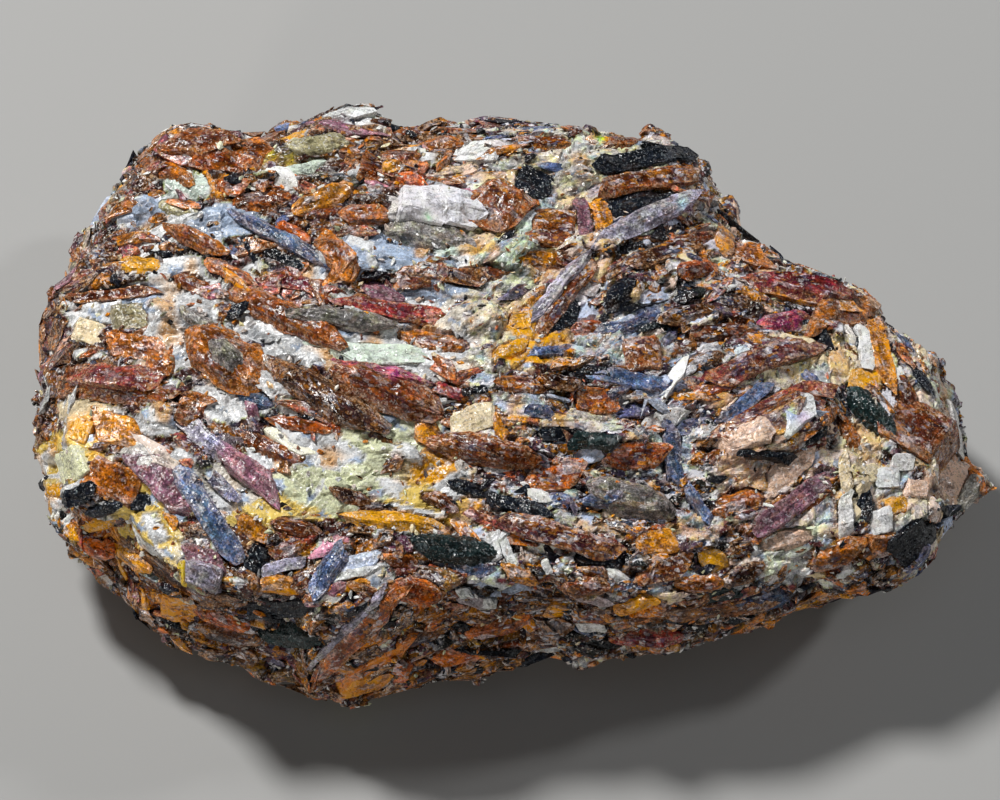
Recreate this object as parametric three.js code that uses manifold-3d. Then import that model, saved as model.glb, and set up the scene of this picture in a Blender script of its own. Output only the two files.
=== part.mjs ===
// A hand specimen of titanite rock: one loose lump of flat-faced crystals grown together.
// Units are millimetres and +Z is up. The lump rests on a broken flat facet at z = 0, its long
// side runs along X, and its broad crystal face looks up and a little to the front (-Y).
// The whole lump is one closed solid: a rough core with its larger crystals fused on.

import * as THREE from "three";
import { MeshSurfaceSampler } from "three/addons/math/MeshSurfaceSampler.js";
import { mergeVertices } from "three/addons/utils/BufferGeometryUtils.js";
import Module from "manifold-3d";

// ---------------------------------------------------------------- driving dimensions

// The silhouette is seen from the front, this far above the horizon. u runs to the right and
// v runs up, on the plane square to that line of sight.
const SIGHT_ELEVATION = THREE.MathUtils.degToRad(60);
const SILHOUETTE = [
  [-39, -1.5], [-38.5, 3], [-39, 5], [-38, 7.5], [-36.5, 10.5], [-35, 14],
  [-33, 18], [-31, 21], [-28, 22.5], [-25, 22.5], [-21.5, 22], [-16, 24.5],
  [-13.5, 25.5], [-11.5, 25], [-10, 22], [-6, 23.5], [-1, 24.5], [4.5, 23.5], [7.5, 23],
  [11, 22], [14.5, 21.5], [17, 20], [18.5, 17.5], [20, 15.5], [22, 13.5], [25, 11.5],
  [28, 10], [31.5, 8.5], [33, 6], [35, 4.5], [37, 2.5], [38.5, 0], [39, -3], [39, -6.5],
  [39, -9.5],
  [37, -11.5], [36, -13.5], [33, -15], [29.5, -16.5], [26.5, -16], [24.5, -17.5],
  [20, -19], [15, -21], [10, -21.5], [7, -22.5], [4.5, -21.5], [1, -22.5], [-4, -23],
  [-8, -24], [-11.5, -25], [-16, -24.5], [-18, -22.5], [-23.5, -22], [-28, -20],
  [-31, -17], [-33.5, -14], [-36, -13.5], [-36.5, -11], [-38, -7], [-38.5, -4.5],
];
// The core stays this far inside the silhouette, which its crystals then reach.
const CORE_INSET = 0.4;

// Sections through the core, by their bearing in the sight plane (0 to the right, 90 to the
// back). rim is the height of the silhouette line, shoulder is the height where the side turns
// into the top, and the three insets are measured inwards from the rim in plan.
const SECTIONS = [
  { bearing: 0, rim: 9, shoulder: 14, shoulderIn: 2.5, bellyIn: 2, baseIn: 11 },
  { bearing: 45, rim: 13, shoulder: 17, shoulderIn: 3, bellyIn: -0.5, baseIn: 8 },
  { bearing: 90, rim: 16, shoulder: 19.5, shoulderIn: 3, bellyIn: -1, baseIn: 7 },
  { bearing: 135, rim: 14.5, shoulder: 18.5, shoulderIn: 3, bellyIn: -1, baseIn: 7.5 },
  { bearing: 180, rim: 9.5, shoulder: 15.5, shoulderIn: 2.5, bellyIn: 1.5, baseIn: 9 },
  { bearing: 215, rim: 5.5, shoulder: 15.5, shoulderIn: 2.5, bellyIn: 2.5, baseIn: 10 },
  { bearing: 250, rim: 4.5, shoulder: 17, shoulderIn: 2, bellyIn: 3, baseIn: 11 },
  { bearing: 280, rim: 6, shoulder: 17, shoulderIn: 2, bellyIn: 4, baseIn: 11 },
  { bearing: 310, rim: 9, shoulder: 15.5, shoulderIn: 1.5, bellyIn: 5, baseIn: 12 },
  { bearing: 335, rim: 9.5, shoulder: 14.5, shoulderIn: 2, bellyIn: 4, baseIn: 12 },
];
const BELLY_HEIGHT_SHARE = 0.45;
const BASE_WAVE = { spacing: 7, share: 0.3 };
const CROWN_HEIGHT = 21.5;
const CROWN_ROUNDNESS = 2.2;
const CROWN_AT = new THREE.Vector2(0, -4);
// Rings from the shoulder to the crown: how far in each lies, and which columns it keeps.
const TOP_RINGS = [
  { share: 0.1, everyColumn: 1 },
  { share: 0.21, everyColumn: 1 },
  { share: 0.34, everyColumn: 2 },
  { share: 0.48, everyColumn: 2 },
  { share: 0.63, everyColumn: 2 },
  { share: 0.8, everyColumn: 4 },
];
// The core runs a little below the floor and is then cut flat at z = 0 by a block this wide.
const FOOT_DEPTH = 1.5;
const FLOOR_CUT = 200;

// The broken surface: lumps of two sizes, given as spacing and height. The silhouette line,
// which is the fifth ring of the side, moves by less.
const RELIEF = [
  { spacing: 7, height: 1.1 },
  { spacing: 3.1, height: 0.9 },
];
const RIM_RELIEF_SHARE = 0.25;
const RIM_ROW = 4;
const OUTWARDS_Z_WEIGHT = 2.5;

// The larger crystals of the broad face, by the place of their middle in the sight plane, their
// length and width, and the slope of their long axis (degrees, falling to the right).
const FACE_CRYSTALS = [
  [-24.5, 21, 6.5, 3.5, 8], [-25.5, 13.5, 5, 1.7, 28], [-16, 21, 7.5, 4.5, -20],
  [-5, 16.5, 7, 3, 3], [-18.5, 13.5, 7, 2, 27], [-15, 17, 5, 2, -25], [-11, 15.5, 4, 2, 5],
  [-17.5, 7, 10, 2.5, 25], [-13.5, 7, 8.5, 2, 8], [-9, 7.5, 8, 1.4, 13], [-23, 4, 7, 5, 35],
  [-14.5, 0.5, 10.5, 3.3, 40], [-9.5, 1, 9.5, 3.8, 20], [-32, 1.5, 8, 3, 2],
  [-1.5, -4, 9, 2.7, 4], [-28, -7, 6, 2.5, 50], [-24.5, -9, 8, 2, 55], [-21, -6, 5.5, 2, 38],
  [-27.5, -15, 9.5, 2, 30], [-12, -20, 9.5, 2, -42], [-4, -12, 6.5, 3, 12],
  [-14, -14, 4.7, 1.7, -60], [-6.5, -16, 4.3, 2.5, 20], [-2, 6.5, 6.5, 5, -10],
  [1, 12, 6, 4.5, -20], [5, 9, 7.5, 2.5, -52], [9.5, 4.5, 6.5, 2.5, -38], [12, 4, 3, 3, 0],
  [0, 16.5, 4.5, 4.5, 30], [7, 19, 6, 4, 0], [13, 18.5, 9, 2, -5], [13, 15.5, 10.5, 2.5, -22],
  [20.5, 12.5, 3, 3, 20], [25, 9.5, 9.5, 3, 12], [22, 3.5, 9, 2.2, -20],
  [23, -2.5, 11, 6, -25], [31, -1, 5, 3, 50], [36, -2.5, 5, 4, 30], [29, -6, 5, 2.2, 70],
  [11, -8, 7, 3.5, 5], [5, -11, 9, 2.2, 15], [12.5, -20, 5.5, 1.7, 0],
  [18.5, -17.5, 7.5, 1.5, -8], [11, -17, 3.5, 1.7, -25],
];
// The pale crystal that juts out at the right-hand end.
const JUTTING_CRYSTAL = { u: 38.6, v: -6.8, length: 5.5, width: 2.8, slope: 8 };

// The other crystals, drawn by seed all over the lump, clear of each other.
const DRAWN_CRYSTALS = 94;
const DRAWN_LENGTH = [4, 8.5];
const DRAWN_WIDTH = [1.8, 3.4];
const DRAWN_SPACING = 5;
const DRAW_SEED = 21;
// The bedding that the long axes follow at the left and the right end, and their stray from it.
const BEDDING_LEFT = new THREE.Vector3(0.86, -0.42, -0.28);
const BEDDING_RIGHT = new THREE.Vector3(0.93, 0.3, -0.05);
const BEDDING_TURN = [-5, 20];
const BEDDING_STRAY = 0.9;

// Every crystal is a flattened six-sided wedge, sunk into the core by a share of its width.
// Some have a broken end, and some are rolled from an edge up to a flat up.
const WEDGE_SIDES = 6;
const WEDGE_FLATNESS = 0.85;
const WEDGE_SUNK = 0.08;
const WEDGE_SHOULDERS = { low: -0.25, high: 0.2, lowRadius: 0.85 };
const BROKEN_END_SHARE = 0.6;
const BROKEN_CHANCE = 0.35;
const FLAT_UP_CHANCE = 0.5;
const FLAT_UP_ROLL = Math.PI / WEDGE_SIDES;
const BROKEN_EVERY = 3;
const FLAT_UP_EVERY = 2;
const STEEPEST_STRETCH = 1.15;

// ---------------------------------------------------------------- small helpers

const wasm = await Module();
wasm.setup();
const MERGE_DISTANCE = 1e-4;

// A repeatable draw between 0 and 1.
function seededDraw(seed) {
  let state = seed >>> 0;
  return function draw() {
    state = (Math.imul(state, 1664525) + 1013904223) >>> 0;
    return state / 2 ** 32;
  };
}

// A number between -1 and 1 that belongs to one corner of the lattice.
function latticeValue(i, j, k) {
  const mix = Math.sin(i * 127.1 + j * 311.7 + k * 74.7) * 43758.5453;
  return 2 * (mix - Math.floor(mix)) - 1;
}

// Smooth noise between -1 and 1 with one lattice cell a unit.
function smoothNoise(x, y, z) {
  const cell = [x, y, z].map(Math.floor);
  const [fx, fy, fz] = [x, y, z].map((value, axis) => {
    const part = value - cell[axis];
    return part * part * (3 - 2 * part);
  });
  let total = 0;
  for (const i of [0, 1]) {
    for (const j of [0, 1]) {
      for (const k of [0, 1]) {
        const weight = (i ? fx : 1 - fx) * (j ? fy : 1 - fy) * (k ? fz : 1 - fz);
        total += weight * latticeValue(cell[0] + i, cell[1] + j, cell[2] + k);
      }
    }
  }
  return total;
}

// The closed solid of a geometry: shared vertices merged, collapsed triangles dropped.
function toSolid(geometry) {
  const bare = geometry.clone();
  bare.deleteAttribute("normal");
  bare.deleteAttribute("uv");
  const merged = mergeVertices(bare, MERGE_DISTANCE);
  const triVerts = [];
  for (let i = 0; i < merged.index.count; i += 3) {
    const [a, b, c] = [0, 1, 2].map((step) => merged.index.getX(i + step));
    if (a !== b && b !== c && c !== a) triVerts.push(a, b, c);
  }
  return new wasm.Manifold(new wasm.Mesh({
    numProp: 3,
    vertProperties: merged.attributes.position.array,
    triVerts: new Uint32Array(triVerts),
  }));
}

function toGeometry(solid) {
  const mesh = solid.getMesh();
  const geometry = new THREE.BufferGeometry();
  geometry.setAttribute("position", new THREE.BufferAttribute(mesh.vertProperties, 3));
  geometry.setIndex(new THREE.BufferAttribute(mesh.triVerts, 1));
  geometry.computeVertexNormals();
  return geometry;
}

// ---------------------------------------------------------------- the sight plane

const SIGHT_RIGHT = new THREE.Vector3(1, 0, 0);
const SIGHT_UP = new THREE.Vector3(0, Math.sin(SIGHT_ELEVATION), Math.cos(SIGHT_ELEVATION));
const TO_EYE = new THREE.Vector3(0, -Math.cos(SIGHT_ELEVATION), Math.sin(SIGHT_ELEVATION));

const EYE_DISTANCE = 200;

// The point of the lump's space that is seen at (u, v) and lies at height z.
function pointSeenAt(u, v, z) {
  const y = (v - z * Math.cos(SIGHT_ELEVATION)) / Math.sin(SIGHT_ELEVATION);
  return new THREE.Vector3(u, y, z);
}

// ---------------------------------------------------------------- the core

// One section at any bearing, blended between the two listed ones beside it.
function sectionAt(bearing) {
  const count = SECTIONS.length;
  let after = SECTIONS.findIndex((section) => section.bearing > bearing);
  if (after < 0) after = count;
  const low = SECTIONS[after - 1];
  const high = SECTIONS[after % count];
  const span = (after === count ? 360 : high.bearing) - low.bearing;
  const share = THREE.MathUtils.smoothstep((bearing - low.bearing) / span, 0, 1);
  const blend = (key) => THREE.MathUtils.lerp(low[key], high[key], share);
  return {
    rim: blend("rim"),
    shoulder: blend("shoulder"),
    shoulderIn: blend("shoulderIn"),
    bellyIn: blend("bellyIn"),
    baseIn: blend("baseIn"),
  };
}

// One column of the core, from the foot's edge up over the rim to just short of the crown.
function corePoints(seen) {
  const bearing = THREE.MathUtils.euclideanModulo(
    THREE.MathUtils.radToDeg(Math.atan2(seen.y, seen.x)), 360);
  const section = sectionAt(bearing);
  const kept = seen.clone().setLength(seen.length() - CORE_INSET);
  const rim = pointSeenAt(kept.x, kept.y, section.rim);
  const inwards = new THREE.Vector3(CROWN_AT.x - rim.x, CROWN_AT.y - rim.y, 0).normalize();
  const inset = (distance, z) => rim.clone().addScaledVector(inwards, distance).setZ(z);

  const wave = smoothNoise(rim.x / BASE_WAVE.spacing, rim.y / BASE_WAVE.spacing, 0);
  const foot = inset(section.baseIn * (1 + BASE_WAVE.share * wave), -FOOT_DEPTH);
  const belly = inset(section.bellyIn, section.rim * BELLY_HEIGHT_SHARE);
  const shoulder = inset(section.shoulderIn, section.shoulder);
  const top = TOP_RINGS.map(({ share }) => {
    const rise = 1 - (1 - share) ** CROWN_ROUNDNESS;
    return new THREE.Vector3(
      THREE.MathUtils.lerp(shoulder.x, CROWN_AT.x, share),
      THREE.MathUtils.lerp(shoulder.y, CROWN_AT.y, share),
      THREE.MathUtils.lerp(shoulder.z, CROWN_HEIGHT, rise),
    );
  });
  return {
    side: [foot, foot.clone().lerp(belly, 0.5), belly, belly.clone().lerp(rim, 0.5), rim,
      rim.clone().lerp(shoulder, 0.5), shoulder],
    top,
  };
}

// Moves a point of the surface out or in, away from the middle, so that the stone looks broken.
function roughened(point, share) {
  let height = 0;
  for (const lumps of RELIEF) {
    const place = point.clone().divideScalar(lumps.spacing);
    height += lumps.height * smoothNoise(place.x, place.y, place.z);
  }
  const middle = new THREE.Vector3(CROWN_AT.x, CROWN_AT.y, CROWN_HEIGHT / 2);
  const outwards = point.clone().sub(middle);
  outwards.z *= OUTWARDS_Z_WEIGHT;
  return point.clone().addScaledVector(outwards.normalize(), height * share);
}

// The triangles between two rings of vertex numbers. The upper ring has as many, or half.
function bandBetween(lower, upper) {
  const index = [];
  const step = lower.length / upper.length;
  upper.forEach((here, place) => {
    const next = upper[(place + 1) % upper.length];
    const ring = Array.from({ length: step + 1 },
      (_, ahead) => lower[(place * step + ahead) % lower.length]);
    index.push(ring[0], ring[1], here);
    index.push(ring[1], next, here);
    if (step === 2) index.push(ring[1], ring[2], next);
  });
  return index;
}

// The triangles from a ring to one point.
function fanTo(ring, point) {
  return ring.flatMap((here, place) => [here, ring[(place + 1) % ring.length], point]);
}

// The core as one closed mesh of rings, closed by a point at the foot and at the crown.
function coreGeometry() {
  // The silhouette is listed clockwise, and the columns run the other way round.
  const columns = SILHOUETTE.map(([u, v]) => corePoints(new THREE.Vector2(u, v))).reverse();
  const positions = [];
  const addPoint = (point) => positions.push(point) - 1;
  const addRing = (points) => points.map(addPoint);

  const rings = columns[0].side.map((_, row) => {
    const onRim = row === RIM_ROW;
    const share = row === 0 ? 0 : onRim ? RIM_RELIEF_SHARE : 1;
    return addRing(columns.map((column) => roughened(column.side[row], share)));
  });
  TOP_RINGS.forEach(({ everyColumn }, row) => {
    const kept = columns.filter((_, place) => place % everyColumn === 0);
    rings.push(addRing(kept.map((column) => roughened(column.top[row], 1))));
  });
  const foot = addPoint(new THREE.Vector3(CROWN_AT.x, CROWN_AT.y, -FOOT_DEPTH));
  const crown = addPoint(new THREE.Vector3(CROWN_AT.x, CROWN_AT.y, CROWN_HEIGHT));

  const index = [
    ...fanTo([...rings[0]].reverse(), foot),
    ...rings.slice(1).flatMap((upper, place) => bandBetween(rings[place], upper)),
    ...fanTo(rings.at(-1), crown),
  ];
  const geometry = new THREE.BufferGeometry().setFromPoints(positions);
  geometry.setIndex(index);
  geometry.computeVertexNormals();
  return geometry;
}

// ---------------------------------------------------------------- the crystals

// A flattened six-sided wedge, its long axis along Y and its flat along Z. It has a point at
// each end, or a broken end in place of the lower one.
function wedgeGeometry({ length, width, broken, roll }) {
  const radius = width / 2;
  const profile = [
    new THREE.Vector2(0, -length / 2),
    new THREE.Vector2(radius * WEDGE_SHOULDERS.lowRadius, length * WEDGE_SHOULDERS.low),
    new THREE.Vector2(radius, length * WEDGE_SHOULDERS.high),
    new THREE.Vector2(0, length / 2),
  ];
  if (broken) {
    profile.splice(1, 0, new THREE.Vector2(radius * BROKEN_END_SHARE, -length / 2));
  }
  const geometry = new THREE.LatheGeometry(profile, WEDGE_SIDES);
  return geometry.rotateY(roll).scale(1, 1, WEDGE_FLATNESS);
}

// A wedge lying in the surface at a point, its long axis along the given direction.
function placedWedge(point, normal, along, wedge) {
  const across = new THREE.Vector3().crossVectors(along, normal);
  const centre = point.clone().addScaledVector(normal, -WEDGE_SUNK * wedge.width);
  const place = new THREE.Matrix4().makeBasis(across, along, normal).setPosition(centre);
  return { centre, solid: toSolid(wedgeGeometry(wedge).applyMatrix4(place)) };
}

// The direction in the surface that is seen at this slope, longer where it is foreshortened.
function directionSeenAt(slope, normal) {
  const angle = THREE.MathUtils.degToRad(slope);
  const seen = SIGHT_RIGHT.clone().multiplyScalar(Math.cos(angle))
    .addScaledVector(SIGHT_UP, -Math.sin(angle));
  return seen.addScaledVector(TO_EYE, -seen.dot(normal) / TO_EYE.dot(normal));
}

// The listed crystals, each where the line of sight through its place meets the core.
function faceCrystals(core) {
  const caster = new THREE.Raycaster();
  const target = new THREE.Mesh(core);
  return FACE_CRYSTALS.map(([u, v, length, width, slope], place) => {
    const eye = pointSeenAt(u, v, 0).addScaledVector(TO_EYE, EYE_DISTANCE);
    caster.set(eye, TO_EYE.clone().negate());
    const hit = caster.intersectObject(target)[0];
    const along = directionSeenAt(slope, hit.normal);
    const stretch = Math.min(along.length(), STEEPEST_STRETCH);
    const wedge = {
      length: length * stretch,
      width,
      broken: place % BROKEN_EVERY === 0,
      roll: place % FLAT_UP_EVERY === 0 ? 0 : FLAT_UP_ROLL,
    };
    return placedWedge(hit.point, hit.normal, along.normalize(), wedge);
  });
}

function juttingCrystal() {
  const { u, v, length, width, slope } = JUTTING_CRYSTAL;
  const up = new THREE.Vector3(0, 0, 1);
  const along = directionSeenAt(slope, up).normalize();
  const wedge = { length, width, broken: false, roll: 0 };
  return placedWedge(pointSeenAt(u, v, SECTIONS[0].rim), up, along, wedge);
}

// The direction of the long axes at a place in the lump.
function beddingAt(point) {
  const turn = THREE.MathUtils.smoothstep(point.x, BEDDING_TURN[0], BEDDING_TURN[1]);
  return BEDDING_LEFT.clone().lerp(BEDDING_RIGHT, turn).normalize();
}

// Crystals drawn all over the core, each clear of the middles of those already there.
function drawnCrystals(core, placed) {
  const draw = seededDraw(DRAW_SEED);
  const between = ([low, high]) => THREE.MathUtils.lerp(low, high, draw());
  const sampler = new MeshSurfaceSampler(new THREE.Mesh(core)).setRandomGenerator(draw).build();
  const point = new THREE.Vector3();
  const normal = new THREE.Vector3();
  const all = [...placed];
  while (all.length < placed.length + DRAWN_CRYSTALS) {
    sampler.sample(point, normal);
    const wedge = {
      length: between(DRAWN_LENGTH),
      width: between(DRAWN_WIDTH),
      broken: draw() < BROKEN_CHANCE,
      roll: draw() < FLAT_UP_CHANCE ? FLAT_UP_ROLL : 0,
    };
    const stray = new THREE.Vector3(draw(), draw(), draw()).subScalar(0.5);
    const crowded = all.some(({ centre }) => centre.distanceTo(point) < DRAWN_SPACING);
    if (crowded || point.z < wedge.width) continue;
    const along = beddingAt(point).addScaledVector(stray, BEDDING_STRAY);
    along.addScaledVector(normal, -along.dot(normal)).normalize();
    all.push(placedWedge(point, normal, along, wedge));
  }
  return all;
}

// ---------------------------------------------------------------- the whole lump

// Cuts off all that lies below the floor, which leaves the flat facet that the lump rests on.
function cutFlat(solid) {
  const below = new THREE.BoxGeometry(FLOOR_CUT, FLOOR_CUT, FLOOR_CUT);
  return solid.subtract(toSolid(below.translate(0, 0, -FLOOR_CUT / 2)));
}

function lumpGeometry() {
  const core = coreGeometry();
  const crystals = drawnCrystals(core, [...faceCrystals(core), juttingCrystal()]);
  const whole = wasm.Manifold.union([toSolid(core), ...crystals.map(({ solid }) => solid)]);
  const geometry = toGeometry(cutFlat(whole));
  // The origin goes under the middle of the lump, on the floor.
  geometry.computeBoundingBox();
  const middle = geometry.boundingBox.getCenter(new THREE.Vector3());
  return geometry.translate(-middle.x, -middle.y, 0);
}

const titanite = new THREE.Mesh(
  lumpGeometry(),
  new THREE.MeshStandardMaterial({ color: 0x8a4f2c, roughness: 0.35, metalness: 0 }),
);
titanite.name = "titanite_rock";

const group = new THREE.Group();
group.add(titanite);
export default group;
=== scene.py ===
import itertools
import math
from dataclasses import dataclass

import bpy
import numpy as np
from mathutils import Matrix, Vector
from mathutils.bvhtree import BVHTree


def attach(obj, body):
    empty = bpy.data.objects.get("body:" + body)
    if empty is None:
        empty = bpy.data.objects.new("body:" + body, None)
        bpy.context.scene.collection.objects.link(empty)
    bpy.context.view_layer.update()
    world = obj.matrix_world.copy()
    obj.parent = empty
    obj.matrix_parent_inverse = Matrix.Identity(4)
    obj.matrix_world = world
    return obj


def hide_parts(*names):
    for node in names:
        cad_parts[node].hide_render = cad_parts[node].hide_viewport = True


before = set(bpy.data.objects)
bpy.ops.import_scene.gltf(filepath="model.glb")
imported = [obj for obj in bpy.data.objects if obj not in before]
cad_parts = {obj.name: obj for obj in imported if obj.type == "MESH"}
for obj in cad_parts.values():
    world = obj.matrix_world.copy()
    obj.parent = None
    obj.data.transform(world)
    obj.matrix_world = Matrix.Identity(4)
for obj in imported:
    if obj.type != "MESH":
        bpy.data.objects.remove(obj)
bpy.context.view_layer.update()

# The looks of a loose lump of titanite rock, built round its one solid. The rough mass between
# the crystals is a fine mesh made from that solid, and the crystals are joined meshes set in it.
# Lengths are in millimetres until a mesh is written, and the seeded draws repeat each run.

NODE = "titanite_rock"
MM = 0.001

# ---------------- the camera's view

PICTURE_WIDTH = 1000
PICTURE_HEIGHT = 800
PIXELS_PER_MM = 12.0
ELEVATION = math.radians(60)
SENSOR_MM = 36.0
LENS_MM = 300.0
# The nearest and furthest that the camera sees, in metres.
CLIP = (0.01, 20.0)
# The middle of the lump's outline, in pixels from the picture's left and top.
OUTLINE_MIDDLE = (513.0, 401.5)

RIGHT = np.array([1.0, 0.0, 0.0])
UP = np.array([0.0, math.sin(ELEVATION), math.cos(ELEVATION)])
TO_EYE = np.array([0.0, -math.cos(ELEVATION), math.sin(ELEVATION)])
EYE_DISTANCE = LENS_MM / SENSOR_MM * PICTURE_WIDTH / PIXELS_PER_MM
# The shortest length that a direction is divided by.
SHORTEST = 1e-12


def arrays_of(mesh):
    """A mesh's vertices in millimetres and its triangles, as arrays."""
    mesh.calc_loop_triangles()
    vertices = np.empty(len(mesh.vertices) * 3)
    mesh.vertices.foreach_get("co", vertices)
    triangles = np.empty(len(mesh.loop_triangles) * 3, np.int32)
    mesh.loop_triangles.foreach_get("vertices", triangles)
    return vertices.reshape(-1, 3) / MM, triangles.reshape(-1, 3)


solid_points, solid_triangles = arrays_of(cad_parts[NODE].data)


def middle_along(direction):
    along = solid_points @ direction
    return (along.min() + along.max()) / 2


# The point of the view plane that is seen at the picture's middle, and the eye before it.
AIM = (
    RIGHT * (middle_along(RIGHT) - (OUTLINE_MIDDLE[0] - PICTURE_WIDTH / 2) / PIXELS_PER_MM)
    + UP * (middle_along(UP) + (OUTLINE_MIDDLE[1] - PICTURE_HEIGHT / 2) / PIXELS_PER_MM)
    + TO_EYE * middle_along(TO_EYE)
)
EYE = AIM + TO_EYE * EYE_DISTANCE


def pixel_of(points):
    """Where points are seen, in pixels from the picture's left and top."""
    offset = points - EYE
    scale = EYE_DISTANCE * PIXELS_PER_MM / (offset @ -TO_EYE)
    x = PICTURE_WIDTH / 2 + (offset @ RIGHT) * scale
    y = PICTURE_HEIGHT / 2 - (offset @ UP) * scale
    return np.stack([x, y], 1)


def sight_line(x, y):
    """The direction from the eye through a pixel."""
    seen = (
        AIM
        + RIGHT * (x - PICTURE_WIDTH / 2) / PIXELS_PER_MM
        - UP * (y - PICTURE_HEIGHT / 2) / PIXELS_PER_MM
    )
    return unit(seen - EYE)


def unit(vectors):
    return vectors / np.maximum(np.linalg.norm(vectors, axis=-1, keepdims=True), SHORTEST)


def add_camera():
    data = bpy.data.cameras.new("camera")
    data.sensor_width = SENSOR_MM
    data.lens = LENS_MM
    data.clip_start, data.clip_end = CLIP
    camera = bpy.data.objects.new("camera", data)
    bpy.context.scene.collection.objects.link(camera)
    camera.location = Vector(EYE * MM)
    camera.rotation_euler = (math.pi / 2 - ELEVATION, 0, 0)
    bpy.context.scene.camera = camera


# ---------------- repeatable noise

# Large odd numbers that mix the bits of a lattice cell's place into one 32-bit word.
HASH = 0x45D9F3B
WORD = 0xFFFFFFFF
CELL_SPAN = 0xFFFF
CELL_MIXERS = np.array([73856093, 19349663, 83492791])
SEED_MIXER = 7919
PLACE_MIXER = 0x9E3779B9


def scrambled(key):
    for _ in range(2):
        key = ((key ^ (key >> 16)) * HASH) & WORD
    return key ^ (key >> 16)


def lattice_numbers(cells, seed, count):
    """count numbers between 0 and 1 for each lattice cell."""
    mixed = (cells.astype(np.int64) & CELL_SPAN) * CELL_MIXERS
    key = (np.bitwise_xor.reduce(mixed, axis=1) + seed * SEED_MIXER) & WORD
    numbers = np.empty((len(cells), count))
    for place in range(count):
        key = scrambled((key + PLACE_MIXER) & WORD)
        numbers[:, place] = key / WORD
    return numbers


def smooth_noise(points, spacing, seed):
    """Smooth noise between -1 and 1, with about this spacing."""
    scaled = points / spacing
    cell = np.floor(scaled).astype(np.int64)
    part = scaled - cell
    part = part * part * (3 - 2 * part)
    total = np.zeros(len(points))
    for corner in itertools.product((0, 1), repeat=3):
        weight = np.prod(np.where(corner, part, 1 - part), axis=1)
        total += weight * lattice_numbers(cell + corner, seed, 1)[:, 0]
    return 2 * total - 1


# What each of a cell's own numbers, from 0 on, is for: first where its seed is and how its facet
# lies. The mass's grains take their looks from some of the same numbers, a fine grain from two
# in ways of its own.
CELL_NUMBERS = 10
SEED_PLACE = slice(0, 3)
TILTS = slice(3, 6)
TILT_HEIGHT = 6
FOR_WHITE, FOR_UNSEEN, FOR_FOOT, FOR_LEAN = 2, 3, 4, 5
FOR_LIGHT, FOR_RUBBLE, FOR_COLOUR, FOR_PALE = 6, 7, 8, 9
FINE_CLEAR = 6
FINE_LIGHT = 7
# How far a cell's facet stands above or below the next ones.
STEP_HEIGHT = 0.9


def nearest_cells(scaled, seed):
    """The nearest of a scatter of seeds, one in each lattice cell: the offset from it, its own
    numbers between 0 and 1, and how much nearer it is than the next one."""
    base = np.floor(scaled).astype(np.int64)
    nearest = np.full(len(scaled), np.inf)
    second = np.full(len(scaled), np.inf)
    offset = np.zeros_like(scaled)
    own = np.zeros((len(scaled), CELL_NUMBERS))
    for step in itertools.product((-1, 0, 1), repeat=3):
        numbers = lattice_numbers(base + step, seed, CELL_NUMBERS)
        away = scaled - base - step - numbers[:, SEED_PLACE]
        distance = np.sqrt((away**2).sum(1))
        second = np.minimum(second, np.maximum(distance, nearest))
        nearer = distance < nearest
        nearest[nearer] = distance[nearer]
        offset[nearer] = away[nearer]
        own[nearer] = numbers[nearer]
    return offset, own, second - nearest


def tilted_height(offset, own):
    """Heights between about -1 and 1, as a flat tilted facet round each seed."""
    tilt = 2 * own[:, TILTS] - 1
    return np.clip((offset * tilt).sum(1) + STEP_HEIGHT * (own[:, TILT_HEIGHT] - 0.5), -1, 1)


def broken_facets(points, spacing, seed):
    """Heights between about -1 and 1, as broken flat facets with about this spacing."""
    offset, own, _ = nearest_cells(points / spacing, seed)
    return tilted_height(offset, own)


# ---------------- surfaces to build on


def tree_of(points, triangles):
    return BVHTree.FromPolygons(points.tolist(), triangles.tolist())


def remeshed(name, voxel_mm, smoothings=0):
    """The solid's surface as an even mesh, as arrays: its points and its triangles."""
    piece = bpy.data.objects.new(name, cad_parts[NODE].data.copy())
    bpy.context.scene.collection.objects.link(piece)
    remesh = piece.modifiers.new("remesh", "REMESH")
    remesh.mode = "VOXEL"
    remesh.voxel_size = voxel_mm * MM
    if smoothings:
        smooth = piece.modifiers.new("smooth", "SMOOTH")
        smooth.iterations = smoothings
    evaluated = piece.evaluated_get(bpy.context.evaluated_depsgraph_get())
    mesh = bpy.data.meshes.new_from_object(evaluated)
    points, triangles = arrays_of(mesh)
    bpy.data.objects.remove(piece)
    bpy.data.meshes.remove(mesh)
    return points, triangles


def point_normals(points, triangles):
    corners = points[triangles]
    face = np.cross(corners[:, 1] - corners[:, 0], corners[:, 2] - corners[:, 0])
    normals = np.zeros_like(points)
    for corner in range(3):
        np.add.at(normals, triangles[:, corner], face)
    return unit(normals)


SMOOTH_VOXEL = 1.5
SMOOTHINGS = 10
solid_tree = tree_of(solid_points, solid_triangles)
smooth_points, smooth_triangles = remeshed("smooth_base", SMOOTH_VOXEL, SMOOTHINGS)
smooth_tree = tree_of(smooth_points, smooth_triangles)
smooth_normals = point_normals(smooth_points, smooth_triangles)


def broad_normal(point):
    """The surface's direction near a point, without its bumps."""
    _, _, face, _ = smooth_tree.find_nearest(Vector(point))
    return unit(smooth_normals[smooth_triangles[face]].mean(0))


# ---------------- colours

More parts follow.
